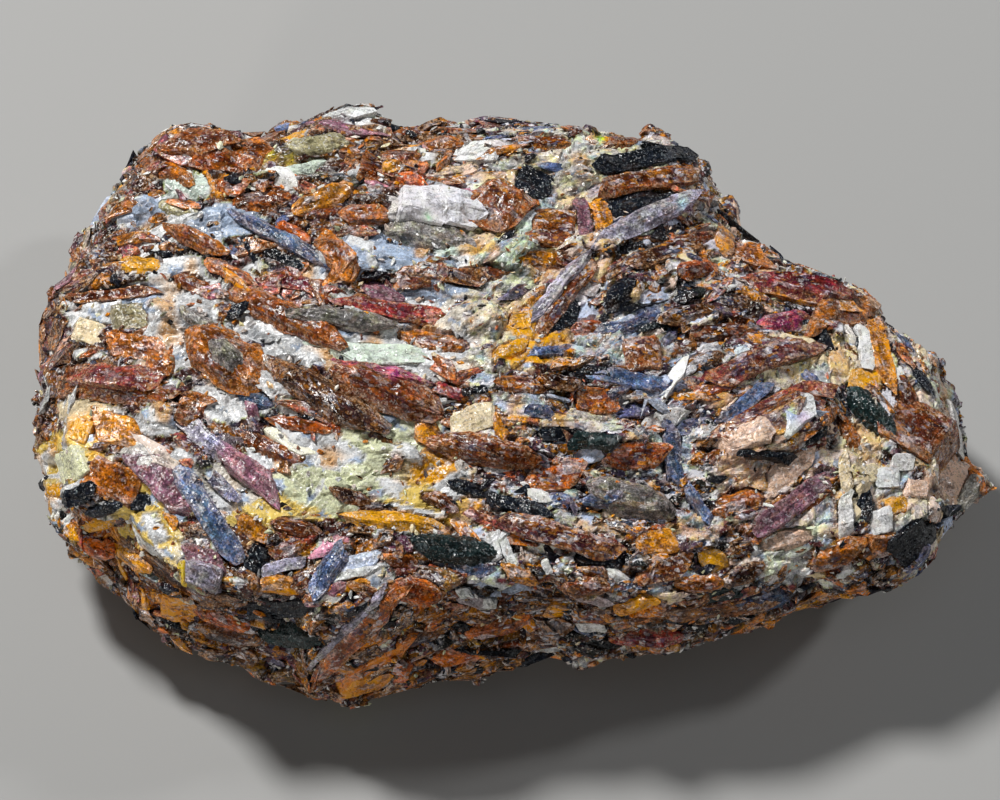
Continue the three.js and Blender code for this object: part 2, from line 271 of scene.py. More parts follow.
# Colours of the minerals, as red, green and blue from 0 to 255.
COLOURS = {
    "chocolate": (60, 31, 11),
    "red_brown": (108, 52, 16),
    "orange_brown": (156, 86, 22),
    "amber": (204, 130, 20),
    "rust": (160, 76, 8),
    "plum_brown": (92, 42, 50),
    "plum": (116, 40, 56),
    "magenta": (150, 66, 112),
    "mauve": (112, 76, 92),
    "plum_mauve": (106, 60, 86),
    "gold": (190, 124, 32),
    "lilac": (134, 132, 150),
    "slate": (60, 76, 108),
    "smoky": (104, 102, 100),
    "olive": (112, 96, 44),
    "black": (14, 18, 25),
    "green_black": (24, 38, 38),
    "white": (212, 214, 216),
    "bright_white": (228, 228, 236),
    "mint": (196, 210, 200),
    "ice": (186, 198, 222),
    "olive_grey": (138, 132, 104),
    "clear_grey": (154, 168, 188),
    "warm_white": (218, 212, 200),
    "cream": (222, 206, 174),
    "yellow_cream": (230, 202, 120),
    "pale_green": (212, 216, 184),
    "yellow": (216, 156, 40),
    "peach": (206, 176, 158),
    "peach_brown": (160, 116, 92),
}
TITANITE = ("chocolate", "red_brown", "orange_brown", "amber", "rust", "plum_brown", "plum",
            "magenta", "olive", "peach_brown", "gold")
GREY_LATHS = ("mauve", "lilac", "slate", "smoky")
BLACKS = ("black", "green_black")

# How much stronger than named a colour is, for the light and the flecks wash it out.
VIVID = 1.12
# The darkest and brightest that a colour of a mineral may be.
COLOUR_LIMITS = (0.003, 0.95)
# The parts of the sRGB curve: a straight line up to its end, and then a power of a moved value.
CURVE_STARTS = 0.04045
CURVE_SLOPE = 12.92
CURVE_MOVE = 0.055
CURVE_POWER = 2.4


def linear(name):
    """A named colour as linear light."""
    share = np.array(COLOURS[name]) / 255
    curved = ((share + CURVE_MOVE) / (1 + CURVE_MOVE)) ** CURVE_POWER
    light = np.where(share <= CURVE_STARTS, share / CURVE_SLOPE, curved)
    return np.clip(light.mean() + (light - light.mean()) * VIVID, *COLOUR_LIMITS)


def mineral_of(colour):
    """The piece that crystals of this colour belong to."""
    if colour in TITANITE:
        return "titanite"
    if colour in GREY_LATHS:
        return "grey"
    return "black" if colour in BLACKS else "pale"


# ---------------- crystal forms

# Cross-sections across a crystal's long axis, as points in a square one unit wide.
LENS_SECTION = [(0.5, 0), (0.24, 0.42), (-0.2, 0.45), (-0.5, 0.03), (-0.24, -0.42), (0.2, -0.45)]
LATH_SECTION = [
    (0.5, 0.3), (0.4, 0.46), (-0.42, 0.46), (-0.5, 0.32),
    (-0.5, -0.3), (-0.4, -0.46), (0.42, -0.46), (0.5, -0.32),
]
NEEDLE_SECTION = [(0.5, 0.1), (0.1, 0.5), (-0.45, 0.25), (-0.3, -0.4), (0.35, -0.42)]
GRAIN_SECTION = [(0.5, 0.0), (0.05, 0.5), (-0.5, 0.1), (-0.1, -0.5)]

# How full the section is along the axis, from one end at -0.5 to the other at 0.5.
LENS_TAPER = [(-0.5, 0.26), (-0.44, 0.55), (-0.28, 0.94), (0.24, 1.0), (0.42, 0.66), (0.5, 0.2)]
LATH_TAPER = [(-0.5, 0.62), (-0.43, 0.95), (0.4, 1.0), (0.5, 0.7)]
BLOCK_TAPER = [(-0.5, 0.78), (-0.44, 1.0), (0.42, 0.98), (0.5, 0.72)]
NEEDLE_TAPER = [(-0.5, 0.7), (0.36, 1.0), (0.5, 0.15)]
GRAIN_TAPER = [(-0.5, 0.35), (0.05, 1.0), (0.5, 0.3)]


def round_points(section, count):
    """Points spaced along a closed section, its corners kept."""
    corners = np.array(section, float)
    per_side = max(1, round(count / len(corners)))
    steps = np.arange(per_side)[:, None] / per_side
    sides = zip(corners, np.roll(corners, -1, axis=0))
    return np.concatenate([start + (end - start) * steps for start, end in sides])


def filled(taper, count):
    """count stations along a crystal, blended between the taper's own, or at least those."""
    at, full = np.array(taper).T
    if count <= len(at):
        return at, full
    wanted = np.sort(np.concatenate([at, np.linspace(-0.5, 0.5, count - len(at) + 2)[1:-1]]))
    return wanted, np.interp(wanted, at, full)


# How far along its map the middle corner of each triangle of an end's fan is moved.
FAN_SHIFT = 0.3


class Form:
    """A crystal of unit size, long axis along X, flat side along Z, as a closed mesh."""

    def __init__(self, section, taper, round_count=0, station_count=0):
        ring = round_points(section, round_count or len(section))
        at, full = filled(taper, station_count)
        sides, stations = len(ring), len(at)
        self.points = np.array([(x, y * f, z * f) for x, f in zip(at, full) for y, z in ring])
        triangles, maps = [], []

        def corner(side, station):
            return station * sides + side % sides

        def mapped(side, station):
            return side / sides, station / max(stations - 1, 1)

        for station, side in itertools.product(range(stations - 1), range(sides)):
            quad = [(side, station), (side, station + 1), (side + 1, station + 1),
                    (side + 1, station)]
            for picked in ((0, 1, 2), (0, 2, 3)):
                triangles.append([corner(*quad[k]) for k in picked])
                maps.append([mapped(*quad[k]) for k in picked])
        for station, turned in ((0, 1), (stations - 1, -1)):
            for side in range(1, sides - 1):
                fan = [0, side, side + 1][::turned]
                triangles.append([corner(k, station) for k in fan])
                maps.append([mapped(k + FAN_SHIFT * (k == side), station) for k in fan])
        self.triangles = np.array(triangles)
        self.maps = np.array(maps, float)
        self.outline = np.array([(2 * x, 2 * y, 2 * z) for x in at for y, z in ring])


# Fine forms are for the listed crystals and middling ones for the scattered.
FORMS = {
    "fine_lens": Form(LENS_SECTION, LENS_TAPER, 24, 18),
    "fine_lath": Form(LATH_SECTION, LATH_TAPER, 24, 18),
    "fine_block": Form(LATH_SECTION, BLOCK_TAPER, 24, 14),
    "fine_needle": Form(NEEDLE_SECTION, NEEDLE_TAPER, 10, 10),
    "middling_lens": Form(LENS_SECTION, LENS_TAPER, 12, 9),
    "middling_lath": Form(LATH_SECTION, LATH_TAPER, 16, 7),
    "middling_block": Form(LATH_SECTION, BLOCK_TAPER, 16, 6),
    "grain": Form(GRAIN_SECTION, GRAIN_TAPER),
}
# How thick a form is to its width, and how steeply its top falls to its sides, at least and most.
FORM_THICKNESS = {"lens": 0.8, "lath": 0.55, "block": 0.75, "needle": 1.0, "grain": 0.9}
RIDGE = {"lens": (0.0, 0.3), "lath": (0.0, 0.2), "block": (0.0, 0.2), "needle": (0.1, 0.5),
         "grain": (0.1, 0.6)}

# How much of the way to its ends counts in the direction out of a crystal.
ENDWISE_SHARE = 0.35
# Each crystal's grain starts at a place of its own, so that no two are alike.
OWN_PLACES_PER_MM = 50
OWN_PLACE_SEED = 77
OWN_PLACE_SPREAD = 90
CHIP_SEED = 31
MAP_MARGIN = 0.06


class Batch:
    """Crystals gathered for one piece."""

    def __init__(self):
        self.points, self.triangles, self.tints, self.zones = [], [], [], []
        self.outward, self.grains, self.maps, self.count = [], [], [], 0

    def add(self, form, centres, axes, sizes, tints, shapes):
        """Adds one crystal of this form at each centre. shapes moves each one's unit points."""
        number, corners = len(centres), len(form.points)
        placed = centres[:, None] + np.einsum("nki,nij->nkj", shapes * sizes[:, None], axes)
        first = self.count + np.arange(number)[:, None, None] * corners
        self.points.append(placed.reshape(-1, 3))
        self.triangles.append((form.triangles[None] + first).reshape(-1, 3))
        self.tints.append(np.repeat(tints, corners, axis=0))
        self.zones.append(np.tile(form.outline, (number, 1)))
        sideways = np.einsum("nki,nij->nkj", shapes * (ENDWISE_SHARE, 1, 1), axes)
        self.outward.append(unit(sideways.reshape(-1, 3)))
        own_cell = np.floor(centres * OWN_PLACES_PER_MM)
        own_place = lattice_numbers(own_cell, OWN_PLACE_SEED, 3) * OWN_PLACE_SPREAD
        grains = shapes * sizes[:, None] + own_place[:, None]
        self.grains.append(grains.reshape(-1, 3))
        self.maps += [form.maps] * number
        self.count += number * corners

    def joined(self, chips, tallest):
        """The piece's points, warped and with their faces broken into small flat chips."""
        points = np.concatenate(self.points)
        outward = np.concatenate(self.outward)
        height = sum(size * broken_facets(points, spacing, CHIP_SEED) for spacing, size in chips)
        return held_in(warped(points), tallest) + outward * height[:, None]

    def map_places(self):
        """Each crystal's faces in a square of its own, as map places for every corner."""
        across = math.ceil(math.sqrt(len(self.maps)))
        places = []
        for number, maps in enumerate(self.maps):
            column, row = number % across, number // across
            inside = MAP_MARGIN + (1 - 2 * MAP_MARGIN) * maps.reshape(-1, 2)
            places.append((inside + (column, row)) / across)
        return np.concatenate(places)


# How far one end of a crystal may stand to one side of the other, in widths, how far its middle
# may bend out of line, and how steeply its top may fall to one end.
SKEW = 0.35
BEND = 0.1
END_FALL = 0.3


def varied(form, number, draw, *, jitter, lean, cap, ridge):
    """Unit points for several crystals of a form, each with its own corners, ends and top."""
    shapes = np.repeat(form.points[None], number, axis=0)
    near_end = np.abs(shapes[:, :, 0:1]) ** 2 * 4
    leans = draw.uniform(-lean, lean, (number, 1, 2))
    shapes[:, :, 0:1] += near_end * (shapes[:, :, 1:] * leans).sum(2, keepdims=True)
    shapes *= 1 + draw.uniform(-jitter, jitter, shapes.shape)
    bend = draw.uniform(-BEND, BEND, (number, 1))
    skew = draw.uniform(-SKEW, SKEW, (number, 1))
    shapes[:, :, 1] += bend * (4 * shapes[:, :, 0] ** 2 - 0.5) + skew * shapes[:, :, 0]
    for side in (-1, 1):
        caps = draw.uniform(cap, 0.5, (number, 1))
        endwise = draw.uniform(-END_FALL, END_FALL, (number, 1)) * shapes[:, :, 0]
        sideways = draw.uniform(*ridge, (number, 1)) * side * shapes[:, :, 1]
        shapes[:, :, 2] = np.minimum(shapes[:, :, 2], caps + endwise + sideways)
    return shapes


WARP_SPACING = 1.7
WARP_SIZE = 0.15
WARP_SEED = 51


def warped(points):
    """Points moved a little, smoothly, so that no edge stays straight."""
    moves = [smooth_noise(points, WARP_SPACING, WARP_SEED + axis) for axis in range(3)]
    return points + WARP_SIZE * np.stack(moves, 1)


def held_in(points, tallest):
    """Points drawn in so that none stands further than this out of the solid."""
    points = points.copy()
    for number, point in enumerate(points):
        near, normal, _, _ = solid_tree.find_nearest(Vector(point))
        height = (Vector(point) - near).dot(normal)
        if height > 0:
            lower = tallest * math.tanh(height / tallest)
            points[number] = near + (Vector(point) - near) * (lower / height)
    return points


# ---------------- crystals listed one by one

# Crystals placed on the side that the photograph shows: some that can be made out in it,
# and others set between those without matching one each. In pixels of the 1000 by 800 picture:
# where the middle is seen, the length and width, how many degrees the long axis falls to the
# right, the form and the colour.
SET_CRYSTALS = [
    # upper left
    (196, 138, 58, 24, 6, "block", "red_brown"), (222, 160, 56, 24, 20, "block", "rust"),
    (165, 167, 64, 20, 15, "lens", "orange_brown"), (139, 183, 20, 16, 0, "block", "chocolate"),
    (178, 207, 40, 18, 12, "lens", "olive_grey"), (194, 239, 66, 20, 28, "lens", "orange_brown"),
    (137, 262, 46, 22, 10, "lens", "yellow"), (161, 253, 24, 8, 10, "needle", "black"),
    (113, 184, 46, 14, -54, "block", "ice"), (99, 214, 36, 12, -62, "block", "ice"),
    (252, 152, 44, 32, 40, "block", "orange_brown"), (286, 152, 58, 26, -30, "lens", "olive"),
    (322, 142, 56, 26, -12, "lens", "olive_grey"), (306, 166, 48, 12, -18, "lens", "mint"),
    (270, 136, 46, 14, -36, "lath", "orange_brown"), (300, 132, 40, 14, -24, "lens", "yellow"),
    (346, 112, 44, 18, 0, "block", "white"), (262, 198, 66, 24, -3, "lens", "red_brown"),
    (322, 195, 64, 24, -25, "lens", "amber"), (365, 213, 52, 24, 5, "lens", "orange_brown"),
    (424, 196, 52, 30, 4, "block", "bright_white"), (459, 199, 38, 28, 8, "block", "bright_white"),
    (424, 232, 100, 34, 4, "lens", "smoky"), (278, 236, 84, 16, 27, "lath", "slate"),
    (268, 250, 62, 10, 27, "lath", "black"), (293, 230, 36, 16, 35, "lens", "rust"),
    (336, 250, 44, 20, 32, "block", "orange_brown"), (342, 274, 34, 22, 0, "block", "orange_brown"),
    (413, 276, 40, 22, 0, "block", "red_brown"), (112, 294, 82, 12, -8, "lath", "red_brown"),
    (128, 316, 40, 24, 0, "block", "olive_grey"), (299, 284, 70, 14, 10, "lath", "plum"),
    (395, 309, 96, 16, 13, "lath", "plum"), (286, 315, 124, 30, 25, "lens", "red_brown"),
    (342, 318, 102, 22, 10, "lens", "smoky"), (432, 338, 78, 22, 12, "lens", "orange_brown"),
    (372, 353, 92, 22, 3, "block", "mint"), (132, 346, 60, 24, 3, "block", "orange_brown"),
    (162, 362, 26, 28, 0, "block", "orange_brown"), (222, 352, 90, 56, 33, "lens", "orange_brown"),
    (228, 354, 46, 26, 33, "lens", "smoky"), (112, 374, 82, 20, 2, "lath", "plum"),
    (116, 392, 88, 22, 2, "lath", "red_brown"), (322, 392, 130, 36, 38, "lens", "chocolate"),
    (388, 388, 116, 42, 20, "lens", "red_brown"), (382, 370, 72, 12, 8, "lath", "magenta"),
    (449, 391, 34, 12, 22, "lath", "plum"), (298, 424, 64, 14, 10, "lens", "rust"),
    (112, 427, 48, 30, 10, "block", "amber"), (270, 447, 78, 20, 20, "lens", "red_brown"),
    (482, 450, 110, 32, 4, "lens", "red_brown"), (478, 417, 44, 28, -20, "block", "cream"),
    (500, 424, 34, 14, 75, "lens", "gold"), (190, 282, 44, 16, 20, "lens", "red_brown"),
    (228, 270, 52, 16, 22, "lens", "orange_brown"), (86, 330, 30, 24, 0, "block", "cream"),
    (68, 380, 26, 30, 0, "block", "red_brown"), (196, 318, 40, 16, 26, "lens", "smoky"),
    (252, 396, 46, 18, 30, "lens", "slate"), (400, 152, 46, 22, 8, "lens", "red_brown"),
    (440, 140, 40, 18, -4, "lens", "orange_brown"), (476, 150, 44, 24, 6, "block", "white"),
    (410, 178, 40, 16, 10, "lens", "rust"), (372, 166, 24, 34, 12, "block", "red_brown"),
    (230, 186, 30, 18, 10, "block", "rust"),
    # lower left
    (67, 466, 46, 34, 0, "block", "pale_green"), (81, 431, 18, 22, 0, "block", "yellow"),
    (115, 482, 54, 38, 20, "block", "orange_brown"), (75, 497, 32, 18, -10, "block", "black"),
    (101, 511, 32, 14, -25, "lens", "black"), (138, 501, 18, 18, 20, "block", "black"),
    (98, 526, 38, 16, -10, "lens", "yellow"), (167, 485, 76, 30, 50, "lath", "mauve"),
    (204, 507, 98, 22, 55, "lath", "slate"), (198, 434, 62, 20, 42, "lath", "lilac"),
    (248, 470, 66, 22, 38, "lath", "mauve"), (206, 558, 38, 18, 25, "lath", "mauve"),
    (204, 577, 36, 26, 35, "block", "lilac"), (165, 575, 112, 22, 32, "lath", "chocolate"),
    (182, 612, 34, 30, 10, "block", "amber"), (351, 495, 42, 14, 18, "lens", "chocolate"),
    (397, 519, 98, 20, 5, "lens", "yellow"), (251, 529, 34, 26, 0, "block", "amber"),
    (300, 528, 52, 20, 0, "lens", "red_brown"), (258, 558, 24, 28, 10, "block", "black"),
    (283, 566, 42, 12, -15, "lath", "lilac"), (326, 570, 58, 18, -60, "lath", "slate"),
    (355, 562, 50, 14, -12, "lath", "ice"), (357, 573, 48, 8, -12, "lath", "white"),
    (355, 586, 30, 12, -10, "lens", "amber"), (278, 588, 48, 18, 2, "lens", "amber"),
    (280, 610, 104, 16, 0, "lath", "black"), (289, 640, 76, 26, 5, "lens", "green_black"),
    (455, 547, 80, 30, 12, "lens", "green_black"), (420, 592, 54, 28, 20, "lens", "rust"),
    (355, 640, 118, 18, -42, "lath", "red_brown"), (348, 630, 100, 7, -42, "lath", "lilac"),
    (380, 662, 78, 14, -30, "lath", "orange_brown"), (363, 686, 44, 22, 0, "block", "amber"),
    (436, 682, 26, 8, 0, "lens", "amber"), (94, 550, 40, 18, 20, "lens", "rust"),
    (128, 560, 44, 16, 34, "lens", "amber"), (230, 640, 60, 20, 14, "lens", "chocolate"),
    (218, 622, 56, 16, 18, "lens", "rust"), (420, 640, 56, 24, -16, "lens", "chocolate"),
    (452, 660, 60, 18, -6, "lens", "red_brown"), (402, 560, 34, 18, 10, "lens", "orange_brown"),
    (438, 500, 40, 16, 24, "lens", "red_brown"), (466, 488, 40, 14, 20, "lens", "black"),
    # centre and upper right
    (520, 320, 26, 18, 0, "block", "yellow"), (510, 349, 38, 18, -10, "lens", "yellow"),
    (552, 292, 86, 12, -52, "lath", "lilac"), (566, 296, 94, 16, -52, "lath", "red_brown"),
    (557, 319, 38, 22, -25, "block", "black"), (619, 289, 38, 22, -35, "lens", "black"),
    (588, 325, 38, 18, -10, "lens", "rust"), (594, 399, 44, 26, 0, "block", "rust"),
    (548, 478, 58, 32, 0, "block", "rust"), (640, 456, 52, 28, 0, "block", "rust"),
    (645, 350, 34, 30, 0, "block", "red_brown"), (539, 412, 32, 12, 10, "lath", "slate"),
    (550, 351, 38, 10, -8, "lath", "slate"), (638, 380, 72, 16, 15, "lath", "slate"),
    (664, 419, 40, 16, -15, "lath", "white"), (587, 457, 34, 18, -20, "block", "ice"),
    (672, 452, 18, 62, 0, "block", "slate"), (696, 500, 40, 12, 60, "lath", "slate"),
    (594, 439, 48, 14, 5, "lath", "green_black"), (498, 203, 54, 50, 30, "block", "red_brown"),
    (531, 180, 34, 30, 30, "block", "black"), (553, 226, 46, 38, 0, "block", "red_brown"),
    (583, 215, 40, 14, 82, "lath", "mauve"), (601, 214, 34, 16, 70, "lath", "amber"),
    (543, 258, 56, 22, 0, "lens", "amber"), (478, 274, 78, 20, -8, "lens", "red_brown"),
    (651, 178, 100, 20, -6, "lath", "red_brown"), (650, 156, 102, 16, -8, "lath", "black"),
    (642, 200, 84, 26, -15, "lens", "black"), (650, 217, 112, 22, -20, "lath", "lilac"),
    (725, 238, 34, 16, 80, "lath", "amber"), (748, 248, 34, 26, 60, "block", "orange_brown"),
    (598, 137, 24, 10, 0, "lens", "amber"), (545, 140, 60, 18, 4, "lens", "red_brown"),
    (620, 140, 34, 14, 0, "block", "red_brown"), (690, 240, 60, 18, -20, "lens", "red_brown"),
    (664, 252, 70, 16, -18, "lath", "chocolate"), (630, 262, 48, 16, -30, "lens", "chocolate"),
    (700, 268, 44, 18, -14, "lens", "rust"), (690, 310, 60, 20, -12, "lens", "chocolate"),
    (640, 320, 46, 18, -30, "lens", "slate"), (600, 372, 50, 16, 4, "lens", "black"),
    (560, 378, 44, 16, 8, "lens", "chocolate"), (520, 384, 50, 18, 6, "lens", "red_brown"),
    (560, 435, 50, 16, 6, "lath", "black"), (516, 505, 56, 14, 12, "lath", "black"),
    (600, 500, 40, 18, 4, "lens", "slate"),
    # right
    (800, 280, 114, 28, 12, "lens", "plum"), (806, 296, 96, 12, 12, "lath", "amber"),
    (786, 318, 60, 22, -10, "lens", "magenta"), (849, 311, 66, 26, 0, "block", "orange_brown"),
    (765, 358, 108, 24, -20, "lath", "plum_brown"), (821, 336, 30, 18, 70, "block", "black"),
    (871, 379, 34, 24, 0, "block", "yellow"), (882, 353, 54, 16, 80, "lath", "amber"),
    (865, 347, 42, 14, 88, "lath", "white"), (872, 412, 64, 28, 48, "lens", "green_black"),
    (772, 404, 104, 18, -26, "lath", "plum_brown"), (740, 436, 52, 22, -27, "block", "peach"),
    (778, 420, 56, 24, -27, "block", "peach_brown"), (758, 413, 66, 10, -27, "lath", "red_brown"),
    (768, 457, 60, 10, 4, "needle", "black"), (796, 502, 84, 22, -34, "lath", "mauve"),
    (790, 468, 54, 26, -30, "block", "peach"), (798, 414, 40, 22, -30, "block", "white"),
    (745, 403, 62, 14, -35, "lath", "slate"), (846, 474, 40, 12, 74, "lath", "cream"),
    (928, 428, 62, 46, 30, "block", "red_brown"), (957, 429, 48, 14, 84, "lath", "white"),
    (964, 482, 52, 34, 10, "block", "peach"), (906, 461, 22, 16, 0, "block", "white"),
    (891, 477, 22, 18, 0, "block", "white"), (846, 515, 40, 14, 84, "lath", "white"),
    (882, 521, 22, 24, 0, "block", "white"), (896, 506, 24, 16, 0, "block", "yellow"),
    (915, 487, 20, 18, 0, "block", "peach"), (885, 546, 34, 22, 0, "block", "orange_brown"),
    (918, 538, 46, 34, -40, "block", "black"), (720, 330, 60, 24, -10, "lens", "red_brown"),
    (730, 300, 54, 20, 10, "lens", "chocolate"), (700, 360, 56, 20, -16, "lens", "chocolate"),
    (716, 386, 44, 16, -20, "lens", "rust"), (836, 560, 60, 26, -10, "lens", "orange_brown"),
    (800, 500, 62, 26, -18, "lens", "red_brown"), (786, 540, 60, 22, -14, "lens", "peach"),
    (740, 500, 54, 24, -10, "lens", "orange_brown"), (850, 430, 40, 20, 60, "lens", "orange_brown"),
    (905, 390, 44, 24, 50, "lens", "red_brown"),
    # lower middle and foot
    (634, 498, 86, 38, 5, "lens", "smoky"), (560, 535, 112, 24, 15, "lath", "plum_brown"),
    (495, 550, 26, 14, 80, "block", "white"), (508, 549, 40, 10, 80, "lath", "white"),
    (465, 594, 14, 10, 0, "block", "white"), (492, 603, 14, 10, 0, "block", "white"),
    (546, 566, 14, 8, 60, "block", "white"), (589, 628, 26, 12, 0, "block", "white"),
    (664, 570, 40, 24, 0, "block", "red_brown"), (653, 542, 38, 24, 0, "block", "amber"),
    (712, 560, 26, 22, 0, "block", "yellow"), (635, 607, 42, 18, -25, "lens", "amber"),
    (648, 641, 70, 18, 0, "lens", "plum"), (720, 610, 92, 14, -8, "lath", "chocolate"),
    (768, 603, 64, 24, -12, "lens", "slate"), (540, 600, 60, 22, 8, "lens", "chocolate"),
    (586, 590, 50, 20, -6, "lens", "red_brown"), (500, 630, 64, 22, -8, "lens", "red_brown"),
    (548, 636, 50, 20, -12, "lens", "chocolate"), (600, 560, 54, 22, 6, "lens", "black"),
    (700, 585, 50, 20, -6, "lens", "orange_brown"), (744, 575, 44, 20, -10, "lens", "chocolate"),
    (470, 568, 50, 14, 10, "lath", "slate"), (520, 575, 40, 16, 20, "lens", "amber"),
]
# How far the listed crystals stand out, and how thick the thinnest is.
SET_RAISE = 0.2
THINNEST = 1.0
# How much of a crystal's thickness its top is cut down by, on average.
CUT_SHARE = 0.06
# How much longer than it is seen a crystal may be, and the least facing that it is worked out for.
LONGEST_STRETCH = 1.35
LEAST_FACING = 0.25


def tangent_seen_at(slope, normal):
    """The direction in a surface that is seen at this slope, longer where it is foreshortened."""
    angle = math.radians(slope)
    seen = RIGHT * math.cos(angle) - UP * math.sin(angle)
    return seen - TO_EYE * (seen @ normal) / max(TO_EYE @ normal, LEAST_FACING)


def crystal_axes(along, normal):
    """A crystal's own axes: along it, across it and out of the solid."""
    along = unit(along - normal * (along @ normal))
    return np.array([along, np.cross(normal, along), normal])


def seen_on_solid(x, y):
    """Where the sight line through a pixel meets the solid, or None."""
    hit = solid_tree.ray_cast(Vector(EYE), Vector(sight_line(x, y)))[0]
    return None if hit is None else np.array(hit)


def spread_on_solid(x, y, reach, slope):
    """From one end to the other of what is seen this far to both sides of a pixel, or None."""
    angle = math.radians(slope)
    step = np.array([math.cos(angle), math.sin(angle)]) * reach
    first, last = seen_on_solid(x - step[0], y - step[1]), seen_on_solid(x + step[0], y + step[1])
    return None if first is None or last is None else last - first


# Where on a listed crystal the solid's lie is taken, as shares of its length and width.
ENDS_AT = 0.36
SIDES_AT = 0.4
# How alike that lie and the broad surface's have to be, and the broad one's share in the result.
LEAST_ALIKE = 0.8
BROAD_SHARE = 0.3


def placed_crystal(x, y, length, width, slope, point):
    """Axes and seen size of a crystal that follows the solid between its ends and sides."""
    normal = unit(broad_normal(point))
    lengthwise = spread_on_solid(x, y, length * ENDS_AT, slope)
    sideways = spread_on_solid(x, y, width * SIDES_AT, slope + 90)
    if lengthwise is not None and sideways is not None:
        leaning = unit(np.cross(lengthwise, -sideways))
        leaning *= np.sign(leaning @ TO_EYE)
        if leaning @ normal > LEAST_ALIKE:
            normal = unit(leaning + BROAD_SHARE * normal)
    along = tangent_seen_at(slope, normal)
    across = tangent_seen_at(slope + 90, normal)
    stretches = [min(np.linalg.norm(side), LONGEST_STRETCH) for side in (along, across)]
    size = np.array([length * stretches[0], width * stretches[1], 0.0]) / PIXELS_PER_MM
    return crystal_axes(along, normal), size


def set_crystals(batches, draw):
    """Places the listed crystals where their pixels' lines of sight meet the solid."""
    for x, y, length, width, slope, form_name, colour in SET_CRYSTALS:
        point = seen_on_solid(x, y)
        if point is None:
            continue
        axes, size = placed_crystal(x, y, length, width, slope, point)
        size[2] = max(size[1] * FORM_THICKNESS[form_name], THINNEST)
        centre = point - axes[2] * (size[2] * (0.5 - CUT_SHARE) - SET_RAISE)
        form = FORMS["fine_" + form_name]
        shapes = varied(form, 1, draw, jitter=0.02, lean=0.5, cap=0.34, ridge=RIDGE[form_name])
        tint = tinted(colour, 1, draw, spread=0.15, lean_spread=0.15)
        if mineral_of(colour) == "titanite":
            tint = lifted(tint, point[None], draw.uniform(*FOOT_SET_VARIES))
        batches[mineral_of(colour)].add(
            form, centre[None], axes[None], size[None], tint, shapes)


# How bright titanite's tints are to their named colours, for its depths are dark.
TITANITE_DEPTH = 0.5
# The shares of red, green and blue in how bright a colour is seen.
BRIGHTNESS = np.array([0.2126, 0.7152, 0.0722])
# How far a tint is drawn to another colour at most, and the brightest one drawn to plum.
LEAN_SHARE = 0.6
LIGHTEST_PLUM = 0.2
# How far the other minerals' tints lean to titanite's.
OTHERS_LEAN = 0.25


def leaned(tints, lean):
    """Tints drawn to plum where lean is under 0 and to gold where it is over, and as bright."""
    light = (tints @ BRIGHTNESS)[:, None]
    dark = np.clip(1 - light[:, 0] / LIGHTEST_PLUM, 0, 1)
    result = tints
    for name, amount in (("plum_mauve", -lean * dark), ("gold", lean)):
        share = LEAN_SHARE * np.clip(amount, 0, 1)[:, None]
        result = result + (linear(name) / (linear(name) @ BRIGHTNESS) * light - result) * share
    return result


def tinted(colour, number, draw, spread=0.45, lean_spread=1.1):
    """Tints round a named colour, as linear light."""
    depth, leans = (TITANITE_DEPTH, 1.0) if colour in TITANITE else (1.0, OTHERS_LEAN)
    light = np.exp(draw.normal(0, spread, number)) * depth
    tints = linear(colour)[None] * light[:, None]
    lean = draw.normal(0, lean_spread, number) * leans
    return np.clip(leaned(tints, lean), *COLOUR_LIMITS)


# ---------------- where fillers go

# Patches of pale rock with few crystals, in pixels: middle, half width, half height, colour.
MATRIX_PATCHES = [
    (475, 322, 46, 36, "warm_white"), (500, 250, 46, 34, "mint"), (620, 345, 34, 16, "clear_grey"),
    (397, 434, 42, 24, "pale_green"), (338, 488, 66, 24, "pale_green"),
    (232, 490, 34, 20, "warm_white"), (148, 522, 26, 36, "yellow_cream"),
    (67, 462, 28, 26, "yellow_cream"), (86, 428, 16, 14, "yellow"), (160, 500, 14, 24, "yellow"),
    (186, 184, 16, 12, "mint"), (372, 352, 60, 18, "white"), (183, 318, 30, 44, "white"),
    (270, 372, 28, 24, "white"), (440, 300, 38, 20, "clear_grey"), (300, 450, 36, 14, "white"),
    (816, 366, 38, 24, "cream"), (585, 168, 52, 30, "warm_white"), (862, 440, 16, 30, "cream"),
    (668, 446, 20, 26, "clear_grey"), (80, 410, 22, 10, "cream"), (150, 300, 26, 12, "clear_grey"),
    (270, 505, 60, 18, "yellow_cream"), (420, 500, 40, 20, "yellow_cream"),
    (530, 340, 30, 20, "yellow"), (820, 520, 30, 20, "clear_grey"), (756, 470, 30, 20, "peach"),
    (716, 396, 14, 10, "peach"),
    (505, 200, 34, 26, "white"), (545, 190, 26, 20, "clear_grey"), (230, 220, 30, 14, "clear_grey"),
    (440, 460, 22, 26, "yellow"), (60, 500, 14, 18, "yellow"), (966, 484, 46, 28, "peach"),
    (330, 270, 30, 14, "white"), (380, 250, 40, 14, "clear_grey"), (250, 330, 26, 14, "white"),
    (230, 400, 26, 20, "white"), (330, 455, 30, 14, "white"), (95, 310, 26, 14, "white"),
    (160, 420, 22, 12, "white"), (440, 345, 30, 12, "warm_white"), (150, 215, 22, 12, "clear_grey"),
    (520, 400, 22, 12, "ice"), (590, 420, 22, 12, "white"), (930, 400, 22, 20, "white"),
    (900, 500, 26, 30, "white"), (780, 560, 26, 14, "white"), (700, 525, 20, 12, "peach"),
]
